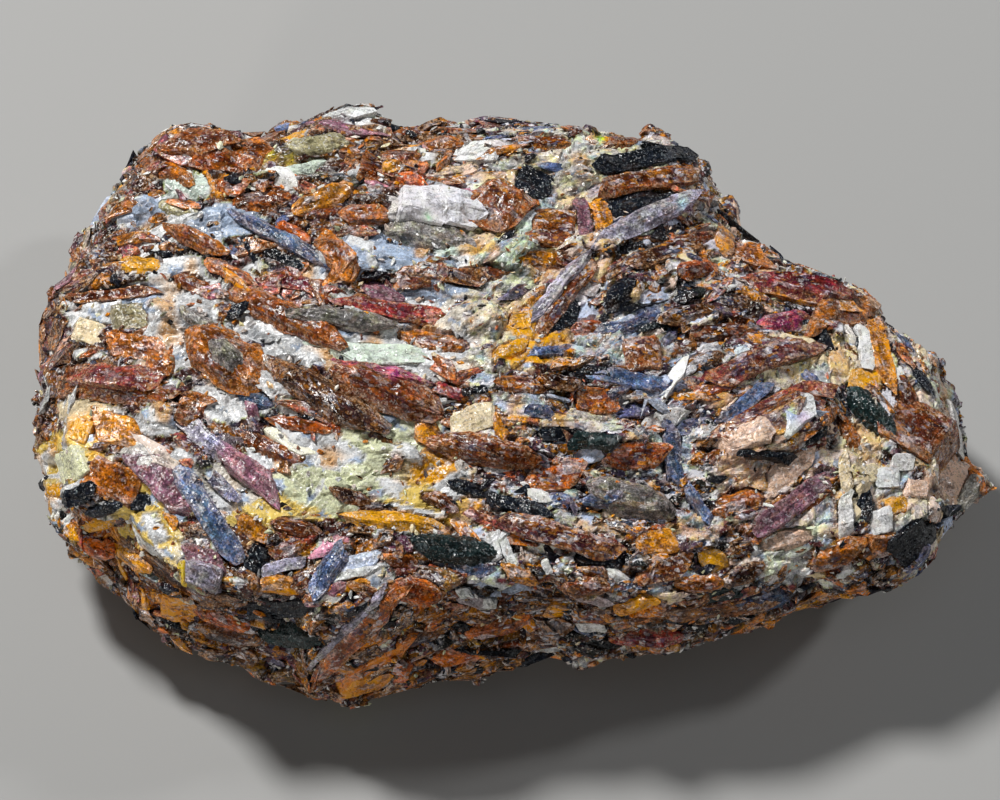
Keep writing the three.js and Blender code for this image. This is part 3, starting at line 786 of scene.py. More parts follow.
# The mix of colours by region, as weights.
PALETTES = {
    "left": {"chocolate": 4, "red_brown": 6, "orange_brown": 5, "amber": 1.5, "mauve": 1.4,
             "plum_brown": 1.6, "smoky": 1.2, "white": 1.3, "plum": 0.8, "black": 1.2,
             "slate": 0.8},
    "middle": {"chocolate": 4.5, "red_brown": 3.5, "rust": 2, "slate": 3.2, "black": 5,
               "orange_brown": 2, "plum_brown": 1.8, "mauve": 1.2, "bright_white": 1.6, "ice": 2.2,
               "magenta": 0.3, "green_black": 1.5, "amber": 2.2},
    "right": {"chocolate": 7, "red_brown": 4.5, "orange_brown": 2.5, "amber": 1.6, "cream": 1.5,
              "peach": 2.5, "bright_white": 2, "plum_brown": 2, "mauve": 2, "black": 5, "ice": 1.4,
              "slate": 1.2, "magenta": 0.5},
    "foot": {"chocolate": 6, "red_brown": 4.5, "black": 7.5, "amber": 6, "rust": 3.5, "slate": 0.5,
             "gold": 3, "olive": 0.4, "white": 0.5, "green_black": 1, "plum_brown": 1,
             "orange_brown": 3},
    "corner": {"amber": 6, "gold": 5, "rust": 4, "red_brown": 4, "chocolate": 3, "black": 3,
               "yellow": 1.5, "white": 0.5, "plum_brown": 1.5, "yellow_cream": 0.6},
    "tip": {"peach": 5, "peach_brown": 3, "warm_white": 1, "orange_brown": 1},
}
# Where the regions part, in pixels: the left from the middle and the middle from the right, the
# jutting tip at the right, and the lines below which the lower left corner and the foot lie.
LEFT_ENDS = 470
MIDDLE_ENDS = 730
TIP_STARTS = 938
TIP_TOP = 456
TIP_FOOT = 508
CORNER_LINE = [(0, 440), (80, 500), (150, 545), (280, 560), (300, 900)]
FOOT_LINE = [(0, 520), (150, 560), (300, 600), (500, 612), (700, 598), (1000, 570)]

# How the crystals lie round some pixels: degrees that their long axes fall to the right.
BEDDING = [
    (150, 150, 12), (300, 190, 8), (300, 320, 24), (150, 300, 2), (110, 400, 6), (250, 480, 38),
    (150, 560, 34), (250, 640, 14), (360, 640, -34), (420, 420, 16), (430, 220, 4),
    (330, 560, -14), (450, 560, 12), (560, 300, -44), (500, 150, 4), (560, 520, 12),
    (560, 420, 4), (650, 180, -14), (650, 360, -14), (640, 480, 6), (700, 610, -8),
    (770, 430, -26), (740, 300, -4), (820, 310, 12), (870, 360, 74), (930, 430, 40),
    (860, 500, -60), (850, 570, -12), (560, 640, -10),
]

# The patches of the sides that the photograph hides: their spacing in millimetres, their seed,
# how sharp their edges are, and where these start for crystals and for the mass.
HIDDEN_PATCH_SPACING = 7.0
HIDDEN_PATCH_SEED = 5
HIDDEN_PATCH_EDGE = 2.2
HIDDEN_PATCH_LOW = 0.35
HIDDEN_PALE_LOW = 0.1
# A patch is whole in its middle and fades out past its edge, in half widths.
PATCH_FADE_STARTS = 2.0
PATCH_FADE = 1.15


def patch_weights(pixels):
    """How far inside a pale patch each pixel is, and which patch, with none where it is 0."""
    best = np.zeros(len(pixels))
    which = np.zeros(len(pixels), int)
    for number, (x, y, half_width, half_height, _) in enumerate(MATRIX_PATCHES):
        offset = (pixels - (x, y)) / (half_width, half_height)
        away = np.linalg.norm(offset, axis=1)
        weight = np.clip(PATCH_FADE_STARTS - PATCH_FADE * away, 0, 1)
        better = weight > best
        best[better] = weight[better]
        which[better] = number
    return best, which


def hidden_patches(points, low):
    """How far inside a pale patch each point is on the sides that the photograph hides."""
    noise_there = smooth_noise(points, HIDDEN_PATCH_SPACING, HIDDEN_PATCH_SEED)
    return np.clip(noise_there * HIDDEN_PATCH_EDGE - low, 0, 1)


def regions_of(pixels):
    """The region that each pixel is in."""
    x, y = pixels.T
    regions = np.where(x < LEFT_ENDS, "left", np.where(x < MIDDLE_ENDS, "middle", "right"))
    regions = np.where(y > np.interp(x, *zip(*CORNER_LINE)), "corner", regions)
    regions = np.where(y > np.interp(x, *zip(*FOOT_LINE)), "foot", regions)
    at_tip = (x > TIP_STARTS) & (y > TIP_TOP) & (y < TIP_FOOT)
    return np.where(at_tip, "tip", regions)


def by_region(values, regions):
    """Each region's own value, for an array of regions."""
    return np.array([values[region] for region in regions])


# How shattered the crystals are from left to right, by column of pixels, and at the foot.
BROKEN = [(60, 0.5), (400, 0.4), (530, 1.0), (720, 0.95), (820, 0.8), (960, 0.8)]
FOOT_BROKEN = 0.85

# How much the light that comes through the foot's crystals lifts their red, green and blue, and
# the powers of it that it varies between, in the scattered crystals and in the listed ones.
FOOT_LIGHT = np.array([3.1, 3.35, 2.1])
FOOT_VARIES = (-2.1, 2.1)
FOOT_SET_VARIES = (0.4, 1.6)
BRIGHTEST_AT_FOOT = 0.7
# How much more the crystals of the foot are tilted.
FOOT_TILT = 2.0


def at_foot(pixels):
    """Whether each pixel is in the dark foot or in the glowing corner beside it."""
    return np.isin(regions_of(pixels), ("foot", "corner"))


def foot_light(points):
    """The lift of each point's tint in the shade of the foot, where light comes through."""
    return np.where(at_foot(pixel_of(points))[:, None], FOOT_LIGHT, 1.0)


def lifted(tints, points, varies):
    """Titanite's tints as light through the foot lifts them, held to a brightest, hue kept."""
    tints = tints * foot_light(points) ** varies
    brightest = tints.max(1, keepdims=True)
    return tints * np.minimum(1, BRIGHTEST_AT_FOOT / brightest)


def broken_at(points):
    """How shattered the crystals are at each point, from 0 to 1."""
    pixels = pixel_of(points)
    broken = np.interp(pixels[:, 0], *zip(*BROKEN))
    return np.where(at_foot(pixels), FOOT_BROKEN, broken)


# A facet is the resting one if it faces down this much and lies this near the floor.
RESTING_SHARE = 0.98
RESTING_HEIGHT = 0.05


def scattered(number, draw):
    """Points all over the solid but its resting facet, with their broad normals."""
    corners = solid_points[solid_triangles]
    cross = np.cross(corners[:, 1] - corners[:, 0], corners[:, 2] - corners[:, 0])
    area = np.linalg.norm(cross, axis=1)
    faces_down = cross[:, 2] < -RESTING_SHARE * area
    area[faces_down & (corners[:, :, 2].max(1) < RESTING_HEIGHT)] = 0
    picked = draw.choice(len(area), number, p=area / area.sum())
    share = draw.random((number, 2))
    flip = share.sum(1) > 1
    share[flip] = 1 - share[flip]
    start = corners[picked, 0]
    points = (start + (corners[picked, 1] - start) * share[:, :1]
              + (corners[picked, 2] - start) * share[:, 1:])
    normals = np.array([broad_normal(point) for point in points])
    return points, normals


# How much a point in view faces the eye at least, and how far off it the look back starts.
FACING = 0.05
LOOK_STARTS = 1.2


def in_view(points, normals):
    """Whether each point is seen from the eye."""
    facing = normals @ TO_EYE > FACING
    for number in np.flatnonzero(facing):
        start = points[number] + TO_EYE * LOOK_STARTS
        facing[number] = solid_tree.ray_cast(Vector(start), Vector(TO_EYE))[0] is None
    return facing


def spaced(points, distance):
    """Which of the points to keep so that none is nearer than this to one kept before it."""
    cells, kept = {}, []
    for number, point in enumerate(points):
        cell = tuple(np.floor(point / distance).astype(int))
        near = [
            other
            for step in itertools.product((-1, 0, 1), repeat=3)
            for other in cells.get(tuple(np.add(cell, step)), ())
        ]
        if all(np.sum((points[other] - point) ** 2) >= distance**2 for other in near):
            cells.setdefault(cell, []).append(number)
            kept.append(number)
    return np.array(kept, int)


def on_set_crystal(pixels, grown):
    """Whether each pixel is on one of the listed crystals, taken this much larger."""
    covered = np.zeros(len(pixels), bool)
    for x, y, length, width, slope, _, _ in SET_CRYSTALS:
        angle = math.radians(slope)
        offset = pixels - (x, y)
        along = offset @ (math.cos(angle), math.sin(angle))
        across = offset @ (-math.sin(angle), math.cos(angle))
        covered |= (2 * along / length / grown) ** 2 + (2 * across / width / grown) ** 2 < 1
    return covered


def level_direction(slope):
    """The level direction that is seen at this slope."""
    angle = math.radians(slope)
    return unit(np.array([math.cos(angle), -math.sin(angle) / UP[1], 0.0]))


BEDDING_DIRECTIONS = np.array([level_direction(slope) for _, _, slope in BEDDING])
# The square of how near, in pixels, the places of the bedding blend.
BEDDING_BLEND = 400.0


def bedding_weights(pixels):
    """How near each pixel is to each of the bedding's places."""
    places = np.array([(x, y) for x, y, _ in BEDDING], float)
    away = ((pixels[:, None] - places) ** 2).sum(2)
    return 1 / (away + BEDDING_BLEND) ** 2


def bedding(points, draw, stray):
    """The bedding's direction at each point, with a stray of its own."""
    weights = bedding_weights(pixel_of(points))
    along = unit(weights @ BEDDING_DIRECTIONS)
    return along + draw.normal(0, stray, points.shape)


# The share of the open places that crystals are set in.
FILLED_SHARE = 1.0
# How large the scattered crystals are by region, smaller in the finer-grained parts.
CRYSTAL_SIZES = {"left": 1.0, "middle": 0.68, "right": 0.72, "foot": 0.85, "corner": 1.0,
                 "tip": 1.0}


def open_places(draw, number, distance, grown, patch_share):
    """Spaced places clear of the listed crystals and the pale patches: their points, their
    normals and whether they are seen."""
    points, normals = scattered(number, draw)
    kept = spaced(points, distance)
    points, normals = points[kept], normals[kept]
    pixels = pixel_of(points)
    seen = in_view(points, normals)
    weight = np.where(seen, patch_weights(pixels)[0], hidden_patches(points, HIDDEN_PATCH_LOW))
    covered = on_set_crystal(pixels, grown) & seen
    open_place = ~covered & (draw.random(len(points)) > weight * (1 - patch_share))
    open_place &= draw.random(len(points)) < FILLED_SHARE
    return points[open_place], normals[open_place], seen[open_place]


def picked_names(draw, regions, seen, colours):
    """A colour's name for each place, from the mix given or from its region's."""
    hidden_regions = draw.choice(["left", "middle", "right"], len(regions))
    names = []
    for region in np.where(seen | (regions == "tip"), regions, hidden_regions):
        palette = colours or PALETTES[region]
        weights = np.array(list(palette.values()))
        names.append(draw.choice(list(palette), p=weights / weights.sum()))
    return np.array(names)


def laid_axes(draw, points, normals, tilt, stray):
    """Axes for crystals that lie along the bedding, each leaning a little its own way."""
    upset = np.where(at_foot(pixel_of(points))[:, None], FOOT_TILT, 1.0)
    leaning = unit(normals + draw.normal(0, tilt, normals.shape) * upset)
    along = bedding(points, draw, stray)
    along = unit(along - leaning * (along * leaning).sum(1, keepdims=True))
    return np.stack([along, np.cross(leaning, along), leaning], 1)


def fill(batches, draw, *, number, distance, length, width, form_names, grown, patch_share,
         raised, tilt, stray, colours=None):
    """Sets many crystals over the whole lump, clear of the listed ones and the pale patches."""
    points, normals, seen = open_places(draw, number, distance, grown, patch_share)
    regions = regions_of(pixel_of(points))
    names = picked_names(draw, regions, seen, colours)
    smaller = by_region(CRYSTAL_SIZES, regions)
    lengths = draw.uniform(*length, len(points)) * smaller
    widths = draw.uniform(*width, len(points)) * smaller
    axes = laid_axes(draw, points, normals, tilt, stray)
    form_picks = draw.choice(form_names, len(points))
    for colour, form_name in sorted(set(zip(names.tolist(), form_picks.tolist()))):
        here = np.flatnonzero((names == colour) & (form_picks == form_name))
        form = FORMS[form_name]
        plain_name = form_name.removeprefix("middling_")
        thick = widths[here] * FORM_THICKNESS[plain_name]
        size = np.stack([lengths[here], widths[here], thick], 1)
        centre = points[here] - normals[here] * (thick / 2 - raised)[:, None]
        shapes = varied(form, len(here), draw, jitter=0.05, lean=0.6, cap=0.25,
                        ridge=RIDGE[plain_name])
        tints = tinted(colour, len(here), draw)
        if mineral_of(colour) == "titanite":
            tints = lifted(tints, points[here], draw.uniform(*FOOT_VARIES, (len(here), 1)))
        batches[mineral_of(colour)].add(form, centre, axes[here], size, tints, shapes)


# ---------------- the mass between crystals

MATRIX_VOXEL = 0.28
# How far the whole mass is sunk, how much further under the listed crystals, and how much of
# their length and width that reaches.
MATRIX_SUNK = 0.06
UNDER_CRYSTALS = 0.5
UNDER_REACH = 0.92
# Grain sizes of the mass: along the bedding, across it and through it.
COARSE_GRAIN = np.array([3.8, 1.7, 1.7])
FINE_GRAIN = np.array([1.3, 0.75, 0.75])
COARSE_SEED = 11
FINE_SEED = 12
# How far the grains stand up, and the share of that where the rock is dull.
COARSE_HEIGHT = 0.42
FINE_HEIGHT = 0.13
DULL_COARSE = 0.28
DULL_FINE = 0.35
# The grooves between the grains: their depth, and their width as a share of a grain.
GROOVE = 0.26
GROOVE_WIDTH = 0.16
# Painted shade and painted light: how much darker the hollows are painted and the raised grains
# lighter, the share of that where the rock is dull, and its limits.
HOLLOW_PAINTED_SHADE = 0.8
DULL_CONTRAST = 0.22
PAINTED_SHADE_LIMITS = (0.18, 1.25)
# What is left flat to rest on: how near the floor it is and how much it faces down.
REST_NEAR = 0.3
REST_FACING = -0.7


def with_gloss(dull, glassy):
    """A share that rises from this where the rock is dull to 1 where it is glassy."""
    return dull + (1 - dull) * glassy


def bedding_frame(along):
    """Axes along the bedding, across it and through it."""
    across = unit(np.cross((0.0, 0.0, 1.0), along))
    return np.array([along, across, np.cross(along, across)])


# How far the borders between the frames of the bedding wander, in pixels, and over what
# spacing, and how far apart the frames are set.
BORDER_WANDER = 30.0
WANDER_SPACING = 2.5
WANDER_SEEDS = (61, 62)
FRAME_STEP = 300.0


def in_bedding(points):
    """Points in the frame of the bedding round them, each frame's well away from the next."""
    wander = [smooth_noise(points, WANDER_SPACING, seed) for seed in WANDER_SEEDS]
    pixels = pixel_of(points) + BORDER_WANDER * np.stack(wander, 1)
    nearest = bedding_weights(pixels).argmax(1)
    placed = np.zeros_like(points)
    for number, along in enumerate(BEDDING_DIRECTIONS):
        here = nearest == number
        placed[here] = points[here] @ bedding_frame(along).T + FRAME_STEP * number
    return placed


def matrix_arrays():
    """The solid's surface as a fine mosaic of broken grains, a little sunk between crystals."""
    points, triangles = remeshed("fine_base", MATRIX_VOXEL)
    normals = point_normals(points, triangles)
    placed = in_bedding(points)
    offset, coarse, edge = nearest_cells(placed / COARSE_GRAIN, COARSE_SEED)
    fine_offset, fine, fine_edge = nearest_cells(placed / FINE_GRAIN, FINE_SEED)
    tints, glassy = matrix_looks(points, normals, coarse, fine, np.minimum(edge, fine_edge))
    height = COARSE_HEIGHT * tilted_height(offset, coarse) * with_gloss(DULL_COARSE, glassy)
    height += FINE_HEIGHT * tilted_height(fine_offset, fine) * with_gloss(DULL_FINE, glassy)
    height -= MATRIX_SUNK + GROOVE * np.clip(1 - edge / GROOVE_WIDTH, 0, 1)
    # Painted shade in the hollows and painted light on the raised grains, by each point's height.
    painted_shade = HOLLOW_PAINTED_SHADE * with_gloss(DULL_CONTRAST, glassy)
    tints *= np.clip(1 + painted_shade * height / COARSE_HEIGHT, *PAINTED_SHADE_LIMITS)[:, None]
    under = on_set_crystal(pixel_of(points), UNDER_REACH) & (normals @ TO_EYE > 0)
    height[under] -= UNDER_CRYSTALS
    height[(points[:, 2] < REST_NEAR) & (normals[:, 2] < REST_FACING)] = 0
    points = points + normals * height[:, None]
    points[:, 2] = np.maximum(points[:, 2], 0)
    return points, triangles, tints, glassy, placed


def picked_colours(regions, chance):
    """A colour for each point, from the palette of its region by a number between 0 and 1, and
    whether it is a glassy one."""
    picked = np.zeros((len(chance), 3))
    glassy = np.zeros(len(chance))
    for region, palette in PALETTES.items():
        here = np.flatnonzero(regions == region)
        weights = np.cumsum(list(palette.values()))
        which = np.searchsorted(weights / weights[-1], chance[here], side="right")
        which = np.minimum(which, len(palette) - 1)
        picked[here] = np.array([linear(name) for name in palette])[which]
        glassy[here] = np.array([mineral_of(name) != "pale" for name in palette])[which]
    return picked, glassy


# By region: how much of the mass is fine rubble, how glassy its pale rock is, how much of it is
# pale rock outside the pale patches, and how far the patches reach.
RUBBLE_SHARE = {"left": 0.22, "middle": 0.55, "right": 0.5, "foot": 0.35, "corner": 0.3, "tip": 0.2}
PALE_GLASS = {"left": 0.0, "middle": 0.32, "right": 0.25, "foot": 0.3, "corner": 0.05, "tip": 0.1}
BETWEEN_PALE = {"left": 0.14, "middle": 0.22, "right": 0.16, "foot": 0.05, "corner": 0.04,
                "tip": 0.2}
PATCH_REACH = {"left": 1.05, "middle": 0.9, "right": 0.92, "foot": 1.1, "corner": 1.2, "tip": 1.1}
# The shares of the pale rock's fine grains that are clear and of its coarse ones that are white.
CLEAR_SHARE = 0.12
WHITE_SHARE = 0.22
# The share of the hidden patches that is pale green. The rest is white.
HIDDEN_GREEN_SHARE = 0.3
# How bright white rock is outside the patches, and how fast a patch takes its own colour.
BETWEEN_LIGHT = 0.9
PATCH_COLOUR_RISE = 1.5
# How much each grain's light varies, fine and coarse, and how far a coarse one leans in colour.
FINE_LIGHT_VARIES = 0.8
COARSE_LIGHT_VARIES = 1.0
COARSE_LEANS = 3.6
# Yellow stains: their spacing, seed, edge and start, their light, and their shares on pale rock
# and on the rest.
STAIN_SPACING = 1.9
STAIN_SEED = 9
STAIN_EDGE = 2.8
STAIN_LOW = 0.95
STAIN_LIGHT = 0.9
STAIN_SHARES = (0.7, 0.3)
# Painted shade in the grooves between grains, drawn to dark brown: their width as a share of a
# grain, the light of that brown, and its shares where dull and more where glassy.
GROOVE_SHADE_WIDTH = 0.1
GROOVE_SHADE_LIGHT = 0.3
GROOVE_SHADE_SHARE = 0.1
GROOVE_SHADE_MORE = 0.75
# The darkest and the brightest that the mass may be.
MASS_LIMITS = (0.004, 0.9)


def pale_rock(points, seen, regions, coarse, fine):
    """The pale rock's colour at each point, and how likely the mass is to be pale there."""
    weight, which = patch_weights(pixel_of(points))
    weight = np.where(seen, weight, hidden_patches(points, HIDDEN_PALE_LOW))
    patch_colours = np.array([linear(patch[4]) for patch in MATRIX_PATCHES])
    green = coarse[:, [FOR_UNSEEN]] < HIDDEN_GREEN_SHARE
    unseen = np.where(green, linear("pale_green"), linear("white"))
    colour = np.where(seen[:, None], patch_colours[which], unseen)
    between = linear("white") * BETWEEN_LIGHT
    own_share = np.clip(weight * PATCH_COLOUR_RISE, 0, 1)[:, None]
    colour = between + (colour - between) * own_share
    colour = np.where(fine[:, [FINE_CLEAR]] < CLEAR_SHARE, linear("clear_grey"), colour)
    colour = np.where(coarse[:, [FOR_WHITE]] < WHITE_SHARE, linear("white"), colour)
    likely = weight * by_region(PATCH_REACH, regions) + by_region(BETWEEN_PALE, regions)
    return colour, likely


def grain_tints(tint, glassy, points, coarse, fine):
    """The tints with each grain's own light and lean, and with the foot's light."""
    light = (fine[:, FINE_LIGHT] - 0.5) * FINE_LIGHT_VARIES
    light = light + (coarse[:, FOR_LIGHT] - 0.5) * COARSE_LIGHT_VARIES
    own_light = np.exp(light * with_gloss(DULL_CONTRAST, glassy))
    own_light *= np.where(glassy > 0.5, TITANITE_DEPTH, 1.0)
    lean = (coarse[:, FOR_LEAN] - 0.5) * COARSE_LEANS * glassy
    tint = leaned(tint * own_light[:, None], lean)
    varies = np.interp(coarse[:, [FOR_FOOT]], (0, 1), FOOT_VARIES)
    return np.where(glassy[:, None] > 0.5, lifted(tint, points, varies), tint)


def matrix_looks(points, normals, coarse, fine, edge):
    """The mass's colour at each point, and 0 where it is dull pale rock to 1 where glassy."""
    seen = normals @ TO_EYE > 0
    regions = np.where(seen, regions_of(pixel_of(points)), "left")
    rubble = coarse[:, FOR_RUBBLE] < by_region(RUBBLE_SHARE, regions)
    chance = np.where(rubble, fine[:, FOR_COLOUR], coarse[:, FOR_COLOUR])
    tint, glassy = picked_colours(regions, chance)
    pale_colour, likely = pale_rock(points, seen, regions, coarse, fine)
    pale = np.where(rubble, fine[:, FOR_PALE], coarse[:, FOR_PALE]) < likely
    tint = np.where(pale[:, None], pale_colour, tint)
    glassy = np.where(pale, by_region(PALE_GLASS, regions), glassy)
    tint = grain_tints(tint, glassy, points, coarse, fine)

    stain = np.clip(smooth_noise(points, STAIN_SPACING, STAIN_SEED) * STAIN_EDGE - STAIN_LOW, 0, 1)
    stain *= np.where(pale, *STAIN_SHARES)
    tint = tint + (linear("yellow") * STAIN_LIGHT - tint) * stain[:, None]
    # Painted shade: the grooves between grains darkened towards dark brown.
    groove_shade = np.clip(1 - edge / GROOVE_SHADE_WIDTH, 0, 1) * (GROOVE_SHADE_SHARE + GROOVE_SHADE_MORE * glassy)
    tint = tint + (linear("chocolate") * GROOVE_SHADE_LIGHT - tint) * groove_shade[:, None]
    return np.clip(tint, *MASS_LIMITS), glassy


# ---------------- materials


def add_node(tree, kind, settings=None, **inputs):
    """Adds a shader node. inputs are values or other nodes' outputs, by socket name."""
    node = tree.nodes.new(kind)
    for name, value in (settings or {}).items():
        setattr(node, name, value)
    for name, value in inputs.items():
        socket = node.inputs[int(name[1:]) if name[0] == "_" else name.replace("_", " ")]
        if isinstance(value, bpy.types.NodeSocket):
            tree.links.new(value, socket)
        else:
            socket.default_value = value
    return node


def noise(tree, place, scale, detail, roughness=0.6):
    node = add_node(tree, "ShaderNodeTexNoise", Vector=place, Scale=scale, Detail=detail,
                    Roughness=roughness)
    return node.outputs["Fac"]


def voronoi(tree, place, scale, output, feature="F1"):
    node = add_node(tree, "ShaderNodeTexVoronoi", {"feature": feature}, Vector=place, Scale=scale)
    return node.outputs[output]


def attribute(tree, name, output):
    return add_node(tree, "ShaderNodeAttribute", {"attribute_name": name}).outputs[output]


def split(tree, value):
    """The three parts of a vector or a colour."""
    return add_node(tree, "ShaderNodeSeparateXYZ", _0=value).outputs


def ranged(tree, value, low, high, to_low=0.0, to_high=1.0):
    node = add_node(tree, "ShaderNodeMapRange", Value=value, From_Min=low, From_Max=high,
                    To_Min=to_low, To_Max=to_high)
    return node.outputs["Result"]


def patchy(tree, place, pattern, to_low=0.0, to_high=1.0):
    """From one number to the other in patches of a pattern, as PATTERNS lists them."""
    size_mm, detail, roughness, low, high = PATTERNS[pattern]
    value = noise(tree, place, 1 / (size_mm * MM), detail, roughness)
    return ranged(tree, value, low, high, to_low, to_high)


def arithmetic(tree, operation, first, second=0.0, third=0.0):
    return add_node(tree, "ShaderNodeMath", {"operation": operation}, _0=first, _1=second,
                    _2=third).outputs[0]


def blended(tree, share, first, second):
    node = add_node(tree, "ShaderNodeMix", {"data_type": "RGBA"}, _0=share, _6=first, _7=second)
    return node.outputs[2]


def vector(tree, operation, first, second=(0, 0, 0), third=(0, 0, 0)):
    node = add_node(tree, "ShaderNodeVectorMath", {"operation": operation}, _0=first, _1=second,
                    _2=third)
    return node.outputs[0]


def scaled_colour(tree, colour, amount):
    return add_node(tree, "ShaderNodeVectorMath", {"operation": "SCALE"}, _0=colour,
                    Scale=amount).outputs[0]


def product(tree, *values):
    result = values[0]
    for value in values[1:]:
        result = arithmetic(tree, "MULTIPLY", result, value)
    return result


def risen(tree, dull, glassy):
    """A share that rises from this where the rock is dull to 1 where it is glassy."""
    return arithmetic(tree, "MULTIPLY_ADD", glassy, 1 - dull, dull)


def held_under(tree, colour, brightest):
    """The colour dimmed where its strongest channel is over a limit, with its hue kept."""
    red, green, blue = split(tree, colour)
    most = arithmetic(tree, "MAXIMUM", arithmetic(tree, "MAXIMUM", red, green), blue)
    over = arithmetic(tree, "MAXIMUM", most, brightest)
    return scaled_colour(tree, colour, arithmetic(tree, "DIVIDE", brightest, over))


# Patterns of noise: the size of its lumps in millimetres, its detail and roughness, and the
# lowest and highest of its values that count.
PATTERNS = {
    "cracked": (2.6, 3.0, 0.6, 0.45, 0.6),
    "glowing": (1.0, 5.0, 0.65, 0.47, 0.62),
    "jumbled": (1.6, 3.0, 0.6, 0.4, 0.58),
    "edge_wear_and_highlight": (0.35, 4.0, 0.6, 0.42, 0.6),
    "flecked_over": (1.7, 5.0, 0.7, 0.42, 0.66),
}
# Patterns that run with the grain: their stretch, scale and detail, and the values that count.
DEEP_AND_PALE = ((0.8, 1, 1), 0.9, 6.0, 0.34, 0.66)
FINE_STRIPES = ((0.3, 5, 5), 1.0, 3.0, 0.36, 0.64)
GRAIN_ROUGHNESS = 0.62
# Where the middle of a crystal ends and its outside starts, and where its edges turn lighter, as
# wear and as painted highlight.
INNER_TO_OUTER = (0.1, 0.9)
EDGE_WEAR_AND_HIGHLIGHT = (0.5, 0.95)
# Cracks: their spacing in millimetres and their width as a share of it, and how they wander.
CRACK_SPACING = 0.85
CRACK_WIDTH = 0.05
WANDER_SCALE = 900.0
WANDER_DETAIL = 2.0
WANDER_SIZE = 0.0009
# Splinters, large and small: their sizes in millimetres, how long they are, and how much of
# their own light and colour they have.
SPLINTER_SIZES = (0.6, 0.22)
SPLINTER_STRETCH = (0.5, 1.0, 1.0)
SPLINTER_SHARES = (0.8, 1.0)
# Splinters of other colours, partly other minerals and partly painted reflections, the dark blue
# and the blue ones: the lowest and highest of their random numbers, and their colour.
SPLINTERS = [
    (0.0, 0.2, (0.012, 0.016, 0.028, 1.0)),
    (0.3, 0.42, (0.13, 0.06, 0.085, 1.0)),
    (0.6, 0.73, (0.56, 0.22, 0.02, 1.0)),
    (0.8, 0.88, (0.12, 0.18, 0.3, 1.0)),
    (0.86, 1.0, (0.82, 0.8, 0.84, 1.0)),
]
# What light that comes through a crystal does to its red, green and blue.
WARM_LIGHT = (2.6, 3.05, 1.0)
# The shares of other colours and of uneven light where the rock is dull.
DULL_JUMBLE = 0.2
DULL_UNEVEN = 0.45
# The small chips: their size in millimetres, how much their light varies, the random numbers
# over which they take flecks, partly dust and partly painted glints, in clean patches and in
# flecked ones, and how much more so at the lighter edges.
SMALL_CHIP = 0.13
CHIP_LIGHT = 0.62
FLECK_THRESHOLDS = (1.02, 0.78)
EDGES_MORE_FLECKED = 0.5
BRIGHTEST = 0.85
# The fine bumps: their share, height and size in millimetres, and detail.
BUMP_SHARE = 0.5
BUMP_HEIGHT = 0.1
BUMP_SIZE = 0.35
BUMP_DETAIL = 5.0


@dataclass
class Look:
    """How a mineral looks. What isn't explained here is a share from 0 to 1."""

    name: str
    # How rough its glossiest and its dullest chips are.
    rough: tuple
    # How uneven its tint is: in depth, from its middle out, along it, and between splinters.
    depth: float
    inner: float
    striped: float
    shatter: float
    # How much light comes through it, and how many of its splinters are of other colours.
    glow: float
    mixed: float
    # Its flecks, partly dust and partly painted glints, its cracks, and its edges, lighter as wear
    # and as painted highlight, with their colours as linear light.
    dust_and_glints: float
    dust_and_glint_colour: tuple
    cracks: float
    crack_colour: tuple
    rim: float
    rim_colour: tuple
    # How far its large splinters, small ones and chips turn the light.
    glints: tuple
    # What the light does at its surface.
    ior: float = 1.5
    shine: float = 0.36


